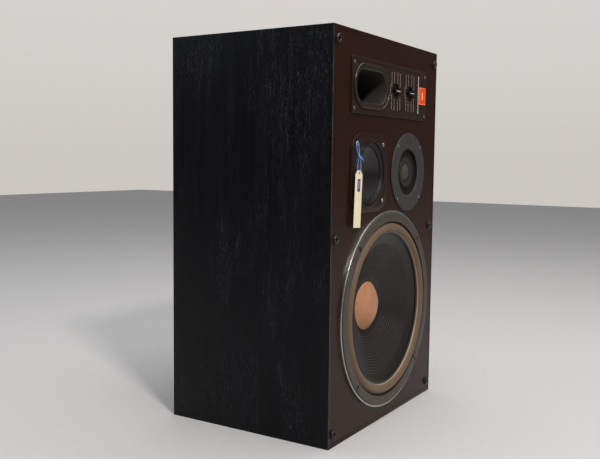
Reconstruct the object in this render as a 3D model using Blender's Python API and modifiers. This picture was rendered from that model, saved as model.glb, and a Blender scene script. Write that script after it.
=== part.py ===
"""Three-way floorstanding loudspeaker, built piece by piece.

Frame: metres, +Z up, origin on the floor under the middle of the box.
The front face looks along -Y.  Sizes below are in millimetres.

Front parts are drawn in a local frame (x right, z up, t proud of the
front face, towards the listener); t is negative inside the cabinet.
"""
import math

import bmesh
import bpy
from mathutils import Matrix, Vector

MM = 0.001

# ---------------------------------------------------------------- sizes
WIDTH, HEIGHT, DEPTH = 457.0, 750.0, 360.0   # outside of the box
PANEL = 18.0                                  # particle-board panels
BAFFLE_T = 20.0                               # front baffle
LIP = 8.0                                     # panel edge round the baffle
GAP = 0.3                                     # clearance between pieces
BACK_INSET = 2.0
FRONT_Y = -175.4                              # world y of the front face

SOCKETS = {"upper_left": (-213.0, 726.2), "upper_right": (213.0, 725.0),
           "middle_left": (-213.0, 377.0), "middle_right": (205.5, 376.5),
           "lower_left": (-212.0, 24.3), "lower_right": (210.5, 24.3)}

PLATE_W, PLATE_H, PLATE_T, PLATE_Z = 331.6, 102.3, 2.7, 652.7
PLATE_X = 1.0
PLATE_SCREW_X, PLATE_SCREW_DZ = 157.2, 41.0
PORT_X, PORT_W, PORT_H, PORT_R = -87.7, 121.0, 59.5, 28.5
PORT_LIP, PORT_WALL, PORT_DEPTH = 11.3, 2.5, 110.0
KNOB_X, KNOB_Z = (16.0, 82.3), 653.0
KNOB_R, KNOB_HOLE_R, KNOB_TOP = 13.4, 14.2, 8.6
BADGE_X, BADGE_Z, BADGE_W, BADGE_H = 144.2, 651.9, 33.0, 36.0

WOOFER_Z = 222.5
WOOFER_R = 196.0                              # frame, outside
WOOFER_CUT_R = 178.0                          # hole in the baffle
WOOFER_SCREW_R = 184.5
WOOFER_TRAVEL = 6.0

MID_X, MID_Z, MID_W = -89.4, 493.2, 147.0
MID_OPEN_R, MID_CUT_R, MID_SCREW = 61.5, 68.0, 53.65

TW_X, TW_Z, TW_R = 87.4, 493.2, 80.0
TW_OPEN_R, TW_CUT_R, TW_SCREW_X, TW_SCREW_Z = 47.4, 50.5, 53.0, 52.5

TERM_Z = 120.0                                # terminal cup on the back

TAG_W, TAG_H, TAG_T = 26.6, 104.4, 0.8
TAG_TILT = 3.2                                # degrees, hanging a little askew
STRING_R = 0.55

BIG, MEDIUM, SMALL = 40, 28, 20               # sides of the round pieces

# ------------------------------------------------------------- the scene
for old in list(bpy.data.objects):
    bpy.data.objects.remove(old, do_unlink=True)

PARTS = bpy.data.collections.new("floorstanding_speaker")
CUTTERS = bpy.data.collections.new("cutters")
bpy.context.scene.collection.children.link(PARTS)
bpy.context.scene.collection.children.link(CUTTERS)


def world(x, z, t=0.0):
    """Front-frame millimetres to world metres."""
    return Vector((x * MM, (FRONT_Y - t) * MM, z * MM))


FACING = (math.pi / 2, 0.0, 0.0)              # local +Z looks out of the front


def finish(name, color, rough, metal):
    m = bpy.data.materials.new(name)
    m.use_nodes = True
    b = m.node_tree.nodes["Principled BSDF"]
    b.inputs["Base Color"].default_value = (*color, 1.0)
    b.inputs["Roughness"].default_value = rough
    b.inputs["Metallic"].default_value = metal
    return m


VENEER = ((0.030, 0.031, 0.032), 0.45, 0.0)
BAFFLE = ((0.040, 0.027, 0.024), 0.42, 0.0)
BLACK = ((0.020, 0.020, 0.021), 0.45, 0.0)
GREY = ((0.23, 0.22, 0.21), 0.50, 0.0)
PLATE = ((0.055, 0.045, 0.042), 0.38, 0.0)
STEEL = ((0.62, 0.61, 0.60), 0.30, 1.0)
IRON = ((0.18, 0.18, 0.19), 0.55, 0.6)
COPPER = ((0.60, 0.33, 0.20), 0.45, 0.6)
CONE = ((0.050, 0.046, 0.046), 0.60, 0.0)
FOAM = ((0.28, 0.23, 0.18), 0.80, 0.0)
PAPER = ((0.42, 0.27, 0.19), 0.70, 0.0)
AMBER = ((0.50, 0.30, 0.10), 0.70, 0.0)
PALE = ((0.45, 0.42, 0.38), 0.60, 0.0)
ORANGE = ((0.80, 0.10, 0.015), 0.35, 0.0)
RED = ((0.55, 0.03, 0.02), 0.40, 0.0)
CREAM = ((0.80, 0.76, 0.62), 0.75, 0.0)
BLUE = ((0.35, 0.60, 0.82), 0.80, 0.0)
BOARD = ((0.12, 0.20, 0.10), 0.60, 0.0)


def add(name, mesh, look=None, loc=(0, 0, 0), rot=(0, 0, 0), parent=None,
        smooth=False, cutter=False):
    """One object in its collection, with its own material."""
    ob = bpy.data.objects.new(name, mesh)
    (CUTTERS if cutter else PARTS).objects.link(ob)
    ob.location = loc
    ob.rotation_euler = rot
    if cutter:
        ob.hide_render = True
        ob.display_type = "WIRE"
    elif look is not None and not mesh.materials:
        mesh.materials.append(finish(name, *look))
    if smooth:
        mesh.shade_smooth()
        mesh.set_sharp_from_angle(angle=math.radians(35))
    if parent is not None:
        ob.parent = parent
    return ob


def turned(name, profile, steps, look, x, z, smooth=True, cutter=False,
           parent=None, loc=None):
    """A solid of revolution about the local Z axis, from (radius, t) points."""
    pts = list(profile)
    area = sum(a[0] * b[1] - b[0] * a[1] for a, b in zip(pts, pts[1:] + pts[:1]))
    if area > 0:                       # the outer side has to run downwards
        pts.reverse()
    ring = pts[0][0] > 1e-6
    mesh = bpy.data.meshes.new(name)
    verts = [(r * MM, 0.0, t * MM) for r, t in pts]
    edges = [(i, i + 1) for i in range(len(pts) - 1)]
    if ring:
        edges.append((len(pts) - 1, 0))
    mesh.from_pydata(verts, edges, [])
    ob = add(name, mesh, look, world(x, z) if loc is None else loc, FACING,
             parent=parent, cutter=cutter)
    screw = ob.modifiers.new("turn", "SCREW")
    screw.axis = "Z"
    screw.angle = math.tau
    screw.steps = screw.render_steps = steps
    screw.use_merge_vertices = True
    screw.merge_threshold = 0.00001
    screw.use_smooth_shade = smooth
    return ob


def circle(x, y, r, n):
    return [(x + r * math.cos(math.tau * i / n), y + r * math.sin(math.tau * i / n))
            for i in range(n)]


def rounded(x, y, w, h, r, n):
    """Rounded rectangle with n points on each corner."""
    pts = []
    for cx, cy, a0 in ((w / 2 - r, h / 2 - r, 0), (-w / 2 + r, h / 2 - r, 90),
                       (-w / 2 + r, -h / 2 + r, 180), (w / 2 - r, -h / 2 + r, 270)):
        for i in range(n):
            a = math.radians(a0 + 90.0 * i / (n - 1))
            pts.append((x + cx + r * math.cos(a), y + cy + r * math.sin(a)))
    return pts


def rectangle(x, y, w, h):
    return [(x - w / 2, y - h / 2), (x + w / 2, y - h / 2),
            (x + w / 2, y + h / 2), (x - w / 2, y + h / 2)]


def flat_mesh(name, outlines, t0, t1, lift=True):
    """A flat outline with holes, from t0 to t1 along the local Z axis."""
    cu = bpy.data.curves.new(name, "CURVE")
    cu.dimensions = "2D"
    cu.fill_mode = "BOTH"
    cu.extrude = abs(t1 - t0) / 2 * MM
    for pts in outlines:
        sp = cu.splines.new("POLY")
        sp.points.add(len(pts) - 1)
        for p, (px, py) in zip(sp.points, pts):
            p.co = (px * MM, py * MM, 0.0, 1.0)
        sp.use_cyclic_u = True
    tmp = bpy.data.objects.new(name, cu)
    CUTTERS.objects.link(tmp)
    bpy.context.view_layer.update()
    deps = bpy.context.evaluated_depsgraph_get()
    mesh = bpy.data.meshes.new_from_object(tmp.evaluated_get(deps))
    bpy.data.objects.remove(tmp, do_unlink=True)
    bpy.data.curves.remove(cu)
    bm = bmesh.new()
    bm.from_mesh(mesh)
    bmesh.ops.remove_doubles(bm, verts=bm.verts, dist=1e-6)
    bmesh.ops.translate(bm, verts=bm.verts, vec=(0, 0, (t0 + t1) / 2 * MM))
    bmesh.ops.recalc_face_normals(bm, faces=bm.faces)
    bm.to_mesh(mesh)
    bm.free()
    mesh.name = name
    return mesh


def flat(name, outlines, t0, t1, look, x, z, **kw):
    return add(name, flat_mesh(name, outlines, t0, t1), look, world(x, z), FACING, **kw)


def box_mesh(name, lo, hi):
    bm = bmesh.new()
    size = [b - a for a, b in zip(lo, hi)]
    mid = [(a + b) / 2 for a, b in zip(lo, hi)]
    bmesh.ops.create_cube(bm, size=1.0, matrix=Matrix.Translation(
        Vector(mid) * MM) @ Matrix.Diagonal(Vector((*size, 1000.0)) * MM))
    mesh = bpy.data.meshes.new(name)
    bm.to_mesh(mesh)
    bm.free()
    return mesh


def box(name, lo, hi, look=None, **kw):
    return add(name, box_mesh(name, lo, hi), look, **kw)


def boolean(ob, cutter, op="DIFFERENCE"):
    m = ob.modifiers.new(op.lower(), "BOOLEAN")
    m.operation = op
    m.solver = "EXACT"
    m.object = cutter
    return m


def rods(name, centres, r, t0, t1, n, x=0.0, z=0.0):
    """One cutter made of several round rods, at (x, y) centres."""
    bm = bmesh.new()
    for cx, cy in centres:
        bmesh.ops.create_cone(
            bm, cap_ends=True, segments=n, radius1=r * MM, radius2=r * MM,
            depth=abs(t1 - t0) * MM,
            matrix=Matrix.Translation(Vector((cx, cy, (t0 + t1) / 2)) * MM))
    mesh = bpy.data.meshes.new(name)
    bm.to_mesh(mesh)
    bm.free()
    return add(name, mesh, loc=world(x, z), rot=FACING, cutter=True)


def arc(cx, cy, rx, ry, a0, a1, n):
    return [(cx + rx * math.cos(math.radians(a0 + (a1 - a0) * i / n)),
             cy + ry * math.sin(math.radians(a0 + (a1 - a0) * i / n)))
            for i in range(n + 1)]


# -------------------------------------------------------------- cabinet
# Four mitred panels; the baffle drops into a rebate round the front.
y0, y1 = FRONT_Y, FRONT_Y + DEPTH
rebate = box("rebate", (-WIDTH / 2 + LIP, y0 - 5, LIP),
             (WIDTH / 2 - LIP, y0 + BAFFLE_T + GAP, HEIGHT - LIP), cutter=True)


def mitred(name, outline):
    """A panel with a mitred cross-section, drawn in XZ and run along Y."""
    mesh = flat_mesh(name, [outline], -DEPTH, 0.0)
    ob = add(name, mesh, VENEER, world(0, 0), FACING)
    boolean(ob, rebate)
    return ob


m = 0.2                                       # half the gap along a mitre
hw = WIDTH / 2
for sign, side in ((-1, "left"), (1, "right")):
    mitred("side_panel_" + side, [
        (sign * hw, m), (sign * hw, HEIGHT - m),
        (sign * (hw - PANEL), HEIGHT - PANEL - m), (sign * (hw - PANEL), PANEL + m)])
mitred("top_panel", [(-hw + m, HEIGHT), (hw - m, HEIGHT),
                     (hw - PANEL - m, HEIGHT - PANEL), (-hw + PANEL + m, HEIGHT - PANEL)])
mitred("bottom_panel", [(-hw + m, 0), (hw - m, 0),
                        (hw - PANEL - m, PANEL), (-hw + PANEL + m, PANEL)])

flat("back_panel",
     [rectangle(0, HEIGHT / 2, WIDTH - 2 * PANEL - 0.6, HEIGHT - 2 * PANEL - 0.6),
      rectangle(0, TERM_Z, 96, 56)],
     -DEPTH + BACK_INSET + PANEL, -DEPTH + BACK_INSET, BLACK, 0, 0)

screws_45 = [(WOOFER_SCREW_R * math.cos(math.radians(a)),
              WOOFER_SCREW_R * math.sin(math.radians(a))) for a in (45, 135, 225, 315)]
mid_sq = [(a * MID_SCREW, b * MID_SCREW) for a, b in ((1, 1), (-1, 1), (-1, -1), (1, -1))]
tw_sq = [(a * TW_SCREW_X, b * TW_SCREW_Z) for a, b in ((1, 1), (-1, 1), (-1, -1), (1, -1))]
plate_sq = [(a * PLATE_SCREW_X, b * PLATE_SCREW_DZ - 1.5) for a, b in ((1, 1), (-1, 1), (-1, -1), (1, -1))]

holes = [rectangle(0, HEIGHT / 2, WIDTH - 2 * LIP - 0.6, HEIGHT - 2 * LIP - 0.6),
         circle(0, WOOFER_Z, WOOFER_CUT_R, BIG),
         circle(MID_X, MID_Z, MID_CUT_R, MEDIUM),
         circle(TW_X, TW_Z, TW_CUT_R, MEDIUM),
         rounded(PORT_X, PLATE_Z, PORT_W + 7.4, PORT_H + 7.4, PORT_R + 3.7, 8)]
holes += [circle(x, KNOB_Z, KNOB_HOLE_R + 0.5, 20) for x in KNOB_X]
holes += [circle(x, z, 6.4, 12) for x, z in SOCKETS.values()]
holes += [circle(x, WOOFER_Z + y, 2.5, 8) for x, y in screws_45]
holes += [circle(MID_X + x, MID_Z + y, 2.5, 8) for x, y in mid_sq]
holes += [circle(TW_X + x, TW_Z + y, 2.5, 8) for x, y in tw_sq]
holes += [circle(x, PLATE_Z + y, 2.5, 8) for x, y in plate_sq]
flat("front_baffle", holes, -BAFFLE_T, 0.0, BAFFLE, 0, 0)

# Sockets that the grille's pegs push into.
for place, (x, z) in SOCKETS.items():
    turned("grille_socket_" + place,
           [(0.0, -12.0), (3.6, -12.0), (3.6, 3.4), (4.4, 4.3), (7.2, 4.3),
            (8.5, 3.0), (8.5, 0.3), (6.0, 0.3), (6.0, -14.0), (0.0, -14.0)],
           12, BLACK, x, z)


def screw_piece(name, x, z, t, head_r, head_h, shank_r, length, look=STEEL, dome=0.45):
    return turned(name, [(0.0, t + head_h), (head_r * 0.62, t + head_h * 0.92),
                         (head_r, t + head_h * dome), (head_r, t),
                         (shank_r, t), (shank_r, t - length), (0.0, t - length - 1.5)],
                  8, look, x, z)


CORNERS = ("upper_right", "upper_left", "lower_left", "lower_right")

# --------------------------------------------------------------- woofer
frame = turned("woofer_frame", [
    (192.5, 4.7), (195.4, 4.5), (WOOFER_R, 3.9), (WOOFER_R, 0.3), (176.5, 0.3), (176.5, -22.0),
    (100.0, -64.0), (100.0, -87.7), (42.0, -87.7), (42.0, -84.9), (97.4, -84.9),
    (97.4, -69.5), (84.0, -69.5), (84.0, -66.8), (97.4, -66.8), (97.4, -62.2),
    (173.8, -20.2), (173.8, 2.5), (192.5, 2.5)], BIG, IRON, 0, WOOFER_Z)
window_set = []
for k in range(4):
    w = box_mesh("window", (-200, -26, -55), (200, 26, -29))
    w.transform(Matrix.Rotation(math.radians(45 * k + 22.5), 4, "Z"))
    window_set.append(add(f"window_{k}", w, loc=world(0, WOOFER_Z), rot=FACING, cutter=True))
for w in window_set:
    boolean(frame, w)
boolean(frame, rods("woofer_bolt_holes", screws_45, 2.5, -3, 8, 8, 0, WOOFER_Z))

gasket = turned("woofer_gasket", [
    (174.3, 6.0), (175.0, 6.6), (191.3, 6.6), (192.0, 6.0), (192.0, 2.8),
    (180.2, 2.8), (180.2, 3.7), (174.3, 3.7)], BIG, GREY, 0, WOOFER_Z)
boolean(gasket, rods("gasket_holes", screws_45, 4.3, -3, 12, 10, 0, WOOFER_Z))



def roll(drop, squeeze):
    """Half roll of the foam, from the cone's edge up and over to the gasket."""
    pts = []
    for k in range(1, 6):
        u = k / 6.0
        r = 152.2 + squeeze + (20.8 - 2 * squeeze) * u
        pts.append((r, -0.8 + 4.1 * u - drop + 7.7 * math.sin(math.pi * u)))
    return pts


turned("woofer_surround",
       [(148.5, -3.0), (152.2, -1.0)] + roll(0.0, 0.0)
       + [(173.4, 3.4), (179.8, 3.4), (179.8, 2.8), (173.2, 2.8)]
       + list(reversed(roll(1.0, 0.9))) + [(153.6, -2.2), (148.7, -4.0)],
       BIG, FOAM, 0, WOOFER_Z)

SLOPE = 0.431


def cone_t(r):
    """Height of the cone's front skin at radius r."""
    return -2.6 - (152.0 - r) * SLOPE


cone = turned("woofer_cone", [
    (145.0, cone_t(145.0)), (150.8, -4.9), (151.0, -6.1), (145.2, cone_t(145.0) - 1.4),
    (40.6, cone_t(39.3) - 1.2), (40.6, -55.0), (39.3, -55.0), (39.3, cone_t(39.3))],
    BIG, CONE, 0, WOOFER_Z)
# The skin stops short of the foam's inner lip.


def dome(edge_r, edge_t, height, n):
    """Points of a round cap, from its edge in to its crown."""
    big = (edge_r ** 2 + height ** 2) / (2 * height)
    half = math.asin(edge_r / big)
    return [(big * math.sin(half * k / n), edge_t + big * (math.cos(half * k / n) - math.cos(half)))
            for k in range(n, -1, -1)]


turned("woofer_dust_cap",
       list(reversed(dome(48.9, -45.5, 18.0, 5))) + dome(47.6, -46.4, 17.4, 5),
       SMALL, PAPER, 0, WOOFER_Z)
turned("woofer_voice_coil", [(37.9, -50.0), (38.9, -50.0), (38.9, -100.0), (37.9, -100.0)],
       BIG, COPPER, 0, WOOFER_Z)

crests = [(r, -65.0 + (1.8 if k % 2 else -0.2)) for k, r in enumerate(range(46, 83, 9))]
turned("woofer_spider",
       [(39.9, -65.0)] + crests + [(84.5, -65.3), (96.9, -65.3), (96.9, -66.4), (84.5, -66.4)]
       + [(r, t - 1.1) for r, t in reversed(crests)] + [(39.9, -66.1)],
       SMALL, AMBER, 0, WOOFER_Z)
turned("woofer_top_plate", [(39.8, -88.0), (82, -88.0), (82, -96.0), (39.8, -96.0)],
       SMALL, IRON, 0, WOOFER_Z)
turned("woofer_magnet", [(50, -96.3), (90, -96.3), (90, -118.0), (50, -118.0)],
       SMALL, BLACK, 0, WOOFER_Z)
turned("woofer_pole_yoke", [(0, -88.0), (37.1, -88.0), (37.1, -118.3), (82, -118.3),
                            (82, -127.0), (0, -127.0)], SMALL, IRON, 0, WOOFER_Z)
for name, (x, y) in zip(CORNERS, screws_45):
    screw_piece("woofer_screw_" + name, x, WOOFER_Z + y, 2.8, 3.8, 2.4, 2.0, 15)

# ------------------------------------------------------------- midrange
mid = turned("mid_frame", [
    (61.5, 2.0), (62.6, 3.0), (66.0, 3.0), (66.0, -16.0), (42.0, -30.0), (42.0, -38.0),
    (16.0, -38.0), (16.0, -35.6), (39.6, -35.6), (39.6, -28.6), (60.6, -16.2), (60.6, -1.6),
    (61.5, -1.2)], MEDIUM, BLACK, MID_X, MID_Z)
flange = add("mid_flange", flat_mesh("mid_flange", [
    rounded(0, 0, MID_W, MID_W, 38.0, 7), circle(0, 0, 64.0, MEDIUM)]
    + [circle(x, y, 2.5, 8) for x, y in mid_sq], 0.3, 2.6),
    loc=world(MID_X, MID_Z), rot=FACING, cutter=True)
boolean(mid, flange, "UNION")

turned("mid_surround",
       [(49.0, -2.2), (51.0, -0.6), (53.4, 1.7), (55.2, 0.1), (57.4, 1.9), (59.4, 0.4),
        (60.2, -0.4), (60.2, -1.2), (57.4, 0.7), (55.2, -1.1), (53.4, 0.5), (51.2, -1.8),
        (49.2, -3.2)], MEDIUM, BLACK, MID_X, MID_Z)


def mid_t(r):
    return -2.6 - (50.0 - r) * 0.56


turned("mid_cone",
       [(0.0, -13.4), (7.0, -14.1), (13.5, -16.6), (19.0, mid_t(19.0)),
        (47.0, mid_t(47.0)), (49.6, -4.1), (49.8, -5.2), (46.8, mid_t(46.8) - 1.1),
        (13.6, mid_t(13.6) - 1.3), (13.6, -26.5), (12.7, -26.5), (12.7, -22.6),
        (16.6, -20.2), (12.6, -17.8), (6.6, -15.2), (0.0, -14.5)],
       MEDIUM, CONE, MID_X, MID_Z)
turned("mid_voice_coil", [(11.6, -23.6), (12.35, -23.6), (12.35, -46.0), (11.6, -46.0)],
       SMALL, COPPER, MID_X, MID_Z)
turned("mid_magnet", [(0, -38.3), (11.0, -38.3), (11.0, -51.0), (13.1, -51.0), (13.1, -38.3),
                      (40, -38.3), (40, -58), (0, -58)], SMALL, IRON, MID_X, MID_Z)
turned("mid_enclosure", [(74.0, -20.3), (78.0, -20.3), (78.0, -95.0), (0, -95.0), (0, -92.0),
                         (74.0, -92.0)], SMALL, BLACK, MID_X, MID_Z)
for name, (x, y) in zip(CORNERS, mid_sq):
    screw_piece("mid_screw_" + name, MID_X + x, MID_Z + y, 2.9, 3.8, 1.9, 1.9, 15)

# -------------------------------------------------------------- tweeter
face = turned("tweeter_faceplate", [
    (TW_OPEN_R + 1.3, 2.5), (79.0, 2.5), (80.0, 1.7), (80.0, 0.3), (49.6, 0.3), (49.6, -5.5),
    (29.0, -5.5), (29.0, -12.0), (26.6, -12.0), (26.6, -3.2), (TW_OPEN_R - 0.7, -3.2),
    (TW_OPEN_R, -2.5), (TW_OPEN_R, 1.6)], MEDIUM, GREY, TW_X, TW_Z)
boolean(face, rods("tweeter_screw_holes", tw_sq, 2.5, -3, 8, 8, TW_X, TW_Z))
turned("tweeter_cone",
       [(0.0, -1.6), (5.0, -2.1), (10.0, -3.9), (13.8, -6.6), (25.0, -2.4), (25.8, -3.1),
        (10.6, -9.0), (10.6, -16.0), (9.8, -16.0), (9.8, -7.2), (5.0, -3.3), (0.0, -2.6)],
       SMALL, PALE, TW_X, TW_Z)
turned("tweeter_magnet", [(0, -12.3), (9.2, -12.3), (9.2, -22.0), (11.4, -22.0), (11.4, -12.3),
                          (35, -12.3), (35, -34), (0, -34)], SMALL, IRON, TW_X, TW_Z)
for name, (x, y) in zip(CORNERS, tw_sq):
    screw_piece("tweeter_screw_" + name, TW_X + x, TW_Z + y, 2.8, 3.2, 1.1, 1.9, 15)

# ----------------------------------------- control plate, port and knobs
flat("control_plate",
     [rounded(PLATE_X, 0, PLATE_W, PLATE_H, 3.0, 3),
      rounded(PORT_X, 0, PORT_W + 7.4, PORT_H + 7.4, PORT_R + 3.7, 8)]
     + [circle(x, KNOB_Z - PLATE_Z, KNOB_HOLE_R, 20) for x in KNOB_X]
     + [circle(x, y, 2.3, 8) for x, y in plate_sq],
     0.3, 3.0, PLATE, 0, PLATE_Z)


def ring_sweep(name, section, look, x, z):
    """Sweeps a closed (offset, t) section round the port's outline."""
    bm = bmesh.new()
    rings = []
    for off, t in section:
        pts = rounded(0, 0, PORT_W + 2 * off, PORT_H + 2 * off, PORT_R + off, 8)
        rings.append([bm.verts.new((px * MM, py * MM, t * MM)) for px, py in pts])
    n = len(rings[0])
    for a, b in zip(rings, rings[1:] + rings[:1]):
        for i in range(n):
            j = (i + 1) % n
            bm.faces.new((a[i], a[j], b[j], b[i]))
    bmesh.ops.recalc_face_normals(bm, faces=bm.faces)
    mesh = bpy.data.meshes.new(name)
    bm.to_mesh(mesh)
    bm.free()
    return add(name, mesh, look, world(x, z), FACING, smooth=True)


ring_sweep("port_tube", [
    (0.0, 3.0), (2.2, 4.6), (9.0, 6.3), (PORT_LIP - 1.2, 6.3), (PORT_LIP, 5.2),
    (PORT_LIP, 3.3), (PORT_WALL, 3.3), (PORT_WALL, -PORT_DEPTH), (0.0, -PORT_DEPTH)],
    PLATE, PORT_X, PLATE_Z)

for label, x in zip(("mid", "high"), KNOB_X):
    knob = turned(label + "_level_knob", [
        (0.0, 0.6), (KNOB_R - 1.0, 0.6), (KNOB_R, -0.4), (KNOB_R, -4.0), (3.0, -4.0),
        (3.0, -15.0), (0.0, -15.0)], 20, BLACK, x, KNOB_Z)
    grip = add(label + "_grip", flat_mesh("grip", [rounded(0, 0, 22.4, 6.0, 2.0, 3)],
                                          -2.0, KNOB_TOP),
               loc=world(x, KNOB_Z), rot=FACING, cutter=True)
    boolean(knob, grip, "UNION")
    turned(label + "_level_control", [
        (3.3, -4.6), (4.8, -4.6), (4.8, -7.6), (12.2, -7.6), (12.2, -19.6),
        (0.0, -19.6), (0.0, -16.0), (3.3, -16.0)], 20, IRON, x, KNOB_Z)

flat("badge", [rounded(0, 0, BADGE_W, BADGE_H, 1.5, 3)], 3.3, 4.1, ORANGE, BADGE_X, BADGE_Z)
for name, (x, y) in zip(CORNERS, plate_sq):
    screw_piece("plate_screw_" + name, x, PLATE_Z + y, 3.3, 3.3, 1.4, 1.7, 13)

# ------------------------------------------------------------- the back
REAR = -DEPTH + BACK_INSET
cup = flat("terminal_cup", [rounded(0, 0, 110, 70, 5, 3)], REAR - 1.9, REAR - 0.3,
           BLACK, 0, TERM_Z)
tub = add("tub", flat_mesh("tub", [rectangle(0, 0, 94, 54)], REAR - 1.0, REAR + 20.0),
          loc=world(0, TERM_Z), rot=FACING, cutter=True)
hollow = add("hollow", flat_mesh("hollow", [rectangle(0, 0, 90, 50)], REAR - 4.0, REAR + 18.0),
             loc=world(0, TERM_Z), rot=FACING, cutter=True)
boolean(cup, tub, "UNION")
boolean(cup, hollow)
for label, look, x in (("red", RED, 19.0), ("black", BLACK, -19.0)):
    pivot = bpy.data.objects.new(f"terminal_pivot_{label}", None)
    PARTS.objects.link(pivot)
    pivot.location = world(x, TERM_Z + 16.0, REAR + 9.0)
    lever = box_mesh("lever", (-8, -2.0, -34.0), (8, 2.0, 2.0))
    ob = add(f"terminal_lever_{label}", lever, look, parent=pivot)
    bev = ob.modifiers.new("edge", "BEVEL")
    bev.width = 0.0008
    bev.segments = 1

board = box("crossover_board", (-80, FRONT_Y + 316, 200), (80, FRONT_Y + 319, 330), BOARD)
for k, (x, z, r, h) in enumerate(((-45, 295, 24, 26), (38, 290, 18, 22), (-30, 230, 13, 30),
                                  (20, 228, 11, 30), (55, 232, 9, 24))):
    mesh = bpy.data.meshes.new("component")
    bm = bmesh.new()
    bmesh.ops.create_cone(bm, cap_ends=True, segments=14, radius1=r * MM, radius2=r * MM,
                          depth=h * MM, matrix=Matrix.Translation(
                              Vector((x, FRONT_Y + 317 - h / 2, z)) * MM)
                          @ Matrix.Rotation(math.pi / 2, 4, "X"))
    bm.to_mesh(mesh)
    bm.free()
    boolean(board, add(f"component_{k}", mesh, cutter=True), "UNION")

# ------------------------------------------- price tag tied to one screw
TX, TZ = MID_X - MID_SCREW, MID_Z + MID_SCREW
pivot = bpy.data.objects.new("tag_pivot", None)
PARTS.objects.link(pivot)
pivot.location = world(TX, TZ)
HOLE_DZ = -53.4                               # eyelet below the screw
card = flat_mesh("hang_tag", [
    [(-TAG_W / 2, -TAG_H + 5.1), (TAG_W / 2, -TAG_H + 5.1), (TAG_W / 2, -3.0),
     (TAG_W / 2 - 7.0, 5.1), (-TAG_W / 2 + 7.0, 5.1), (-TAG_W / 2, -3.0)],
    circle(0, 0, 2.9, 12)], 7.8, 7.8 + TAG_T)
card.transform(Matrix.Translation(Vector((-0.3, HOLE_DZ, 0)) * MM)
               @ Matrix.Rotation(math.radians(-TAG_TILT), 4, "Z"))
add("hang_tag", card, CREAM, rot=FACING, parent=pivot)

LOOP = 4.75                                   # string radius round the screw head
route = [(9.5, -30.6, 12.0), (6.2, -28.4, 11.8), (3.0, -26.6, 11.2), (-0.6, -25.4, 10.6),
         (-2.3, -22.6, 8.8), (-3.2, -16.0, 6.6), (-4.2, -7.5, 4.6)]
route += [(LOOP * math.cos(math.radians(a)), LOOP * math.sin(math.radians(a)), 3.8)
          for a in range(180, -1, -30)]
route += [(4.0, -7.5, 4.6), (3.0, -16.0, 6.4), (1.8, -22.6, 7.9), (1.4, -26.6, 8.8),
          (3.2, -33.0, 9.3), (3.7, -39.5, 9.7), (2.2, -45.5, 9.9), (0.4, -50.2, 9.6),
          (-0.3, -53.0, 8.2), (-0.8, -50.6, 6.5), (-1.7, -46.0, 6.5), (-3.6, -40.0, 6.9),
          (-3.8, -33.5, 7.5), (-2.4, -28.6, 8.2)]


def smooth_route(pts, n):
    """Catmull-Rom points through the route."""
    out = []
    ext = [pts[0]] + list(pts) + [pts[-1]]
    for a, b, c, d in zip(ext, ext[1:], ext[2:], ext[3:]):
        for k in range(n):
            u = k / n
            out.append(tuple(
                0.5 * (2 * q + (r - p) * u + (2 * p - 5 * q + 4 * r - s) * u * u
                       + (3 * q - p - 3 * r + s) * u ** 3)
                for p, q, r, s in zip(a, b, c, d)))
    return out + [pts[-1]]


cu = bpy.data.curves.new("tag_string", "CURVE")
cu.dimensions = "3D"
cu.bevel_depth = STRING_R * MM
cu.bevel_resolution = 1
cu.use_fill_caps = True
pts = smooth_route(route, 2)
sp = cu.splines.new("POLY")
sp.points.add(len(pts) - 1)
for p, (dx, dz, t) in zip(sp.points, pts):
    p.co = (dx * MM, -t * MM, dz * MM, 1.0)
cu.materials.append(finish("tag_string", *BLUE))
string = bpy.data.objects.new("tag_string", cu)
PARTS.objects.link(string)
string.parent = pivot
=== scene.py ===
"""Looks for the three-way floorstanding loudspeaker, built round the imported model."""
import math

import bmesh
import bpy
import numpy as np
from mathutils import Matrix, Vector
from mathutils.geometry import tessellate_polygon

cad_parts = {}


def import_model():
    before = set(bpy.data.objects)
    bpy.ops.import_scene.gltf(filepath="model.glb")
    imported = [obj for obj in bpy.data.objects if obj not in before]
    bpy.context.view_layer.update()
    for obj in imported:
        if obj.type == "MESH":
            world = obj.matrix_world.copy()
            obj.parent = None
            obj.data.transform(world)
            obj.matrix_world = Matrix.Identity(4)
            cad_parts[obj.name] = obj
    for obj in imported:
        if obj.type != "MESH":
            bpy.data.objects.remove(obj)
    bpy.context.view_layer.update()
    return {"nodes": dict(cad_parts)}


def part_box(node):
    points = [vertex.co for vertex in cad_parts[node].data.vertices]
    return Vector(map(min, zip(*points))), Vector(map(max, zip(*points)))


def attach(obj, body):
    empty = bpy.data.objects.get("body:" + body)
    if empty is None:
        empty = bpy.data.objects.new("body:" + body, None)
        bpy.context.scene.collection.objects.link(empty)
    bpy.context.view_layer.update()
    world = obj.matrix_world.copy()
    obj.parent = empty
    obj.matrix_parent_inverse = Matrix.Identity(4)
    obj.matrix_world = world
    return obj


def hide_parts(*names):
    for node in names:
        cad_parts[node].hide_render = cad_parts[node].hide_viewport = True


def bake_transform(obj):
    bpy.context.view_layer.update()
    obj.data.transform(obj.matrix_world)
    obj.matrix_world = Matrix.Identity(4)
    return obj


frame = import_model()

MM = 0.001
FACING = (math.pi / 2, 0.0, 0.0)       # local +Z looks out of the front, local +Y is up
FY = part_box("front_baffle")[0].y       # the front face


def centre(node):
    """x and z of the middle of a node, in millimetres."""
    lo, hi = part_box(node)
    return (lo.x + hi.x) / 2 / MM, (lo.z + hi.z) / 2 / MM


def top_of(node):
    """How far a node stands out of the front face, in millimetres."""
    return (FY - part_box(node)[0].y) / MM


def world(x, z, t=0.0):
    return Vector((x * MM, FY - t * MM, z * MM))


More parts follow.
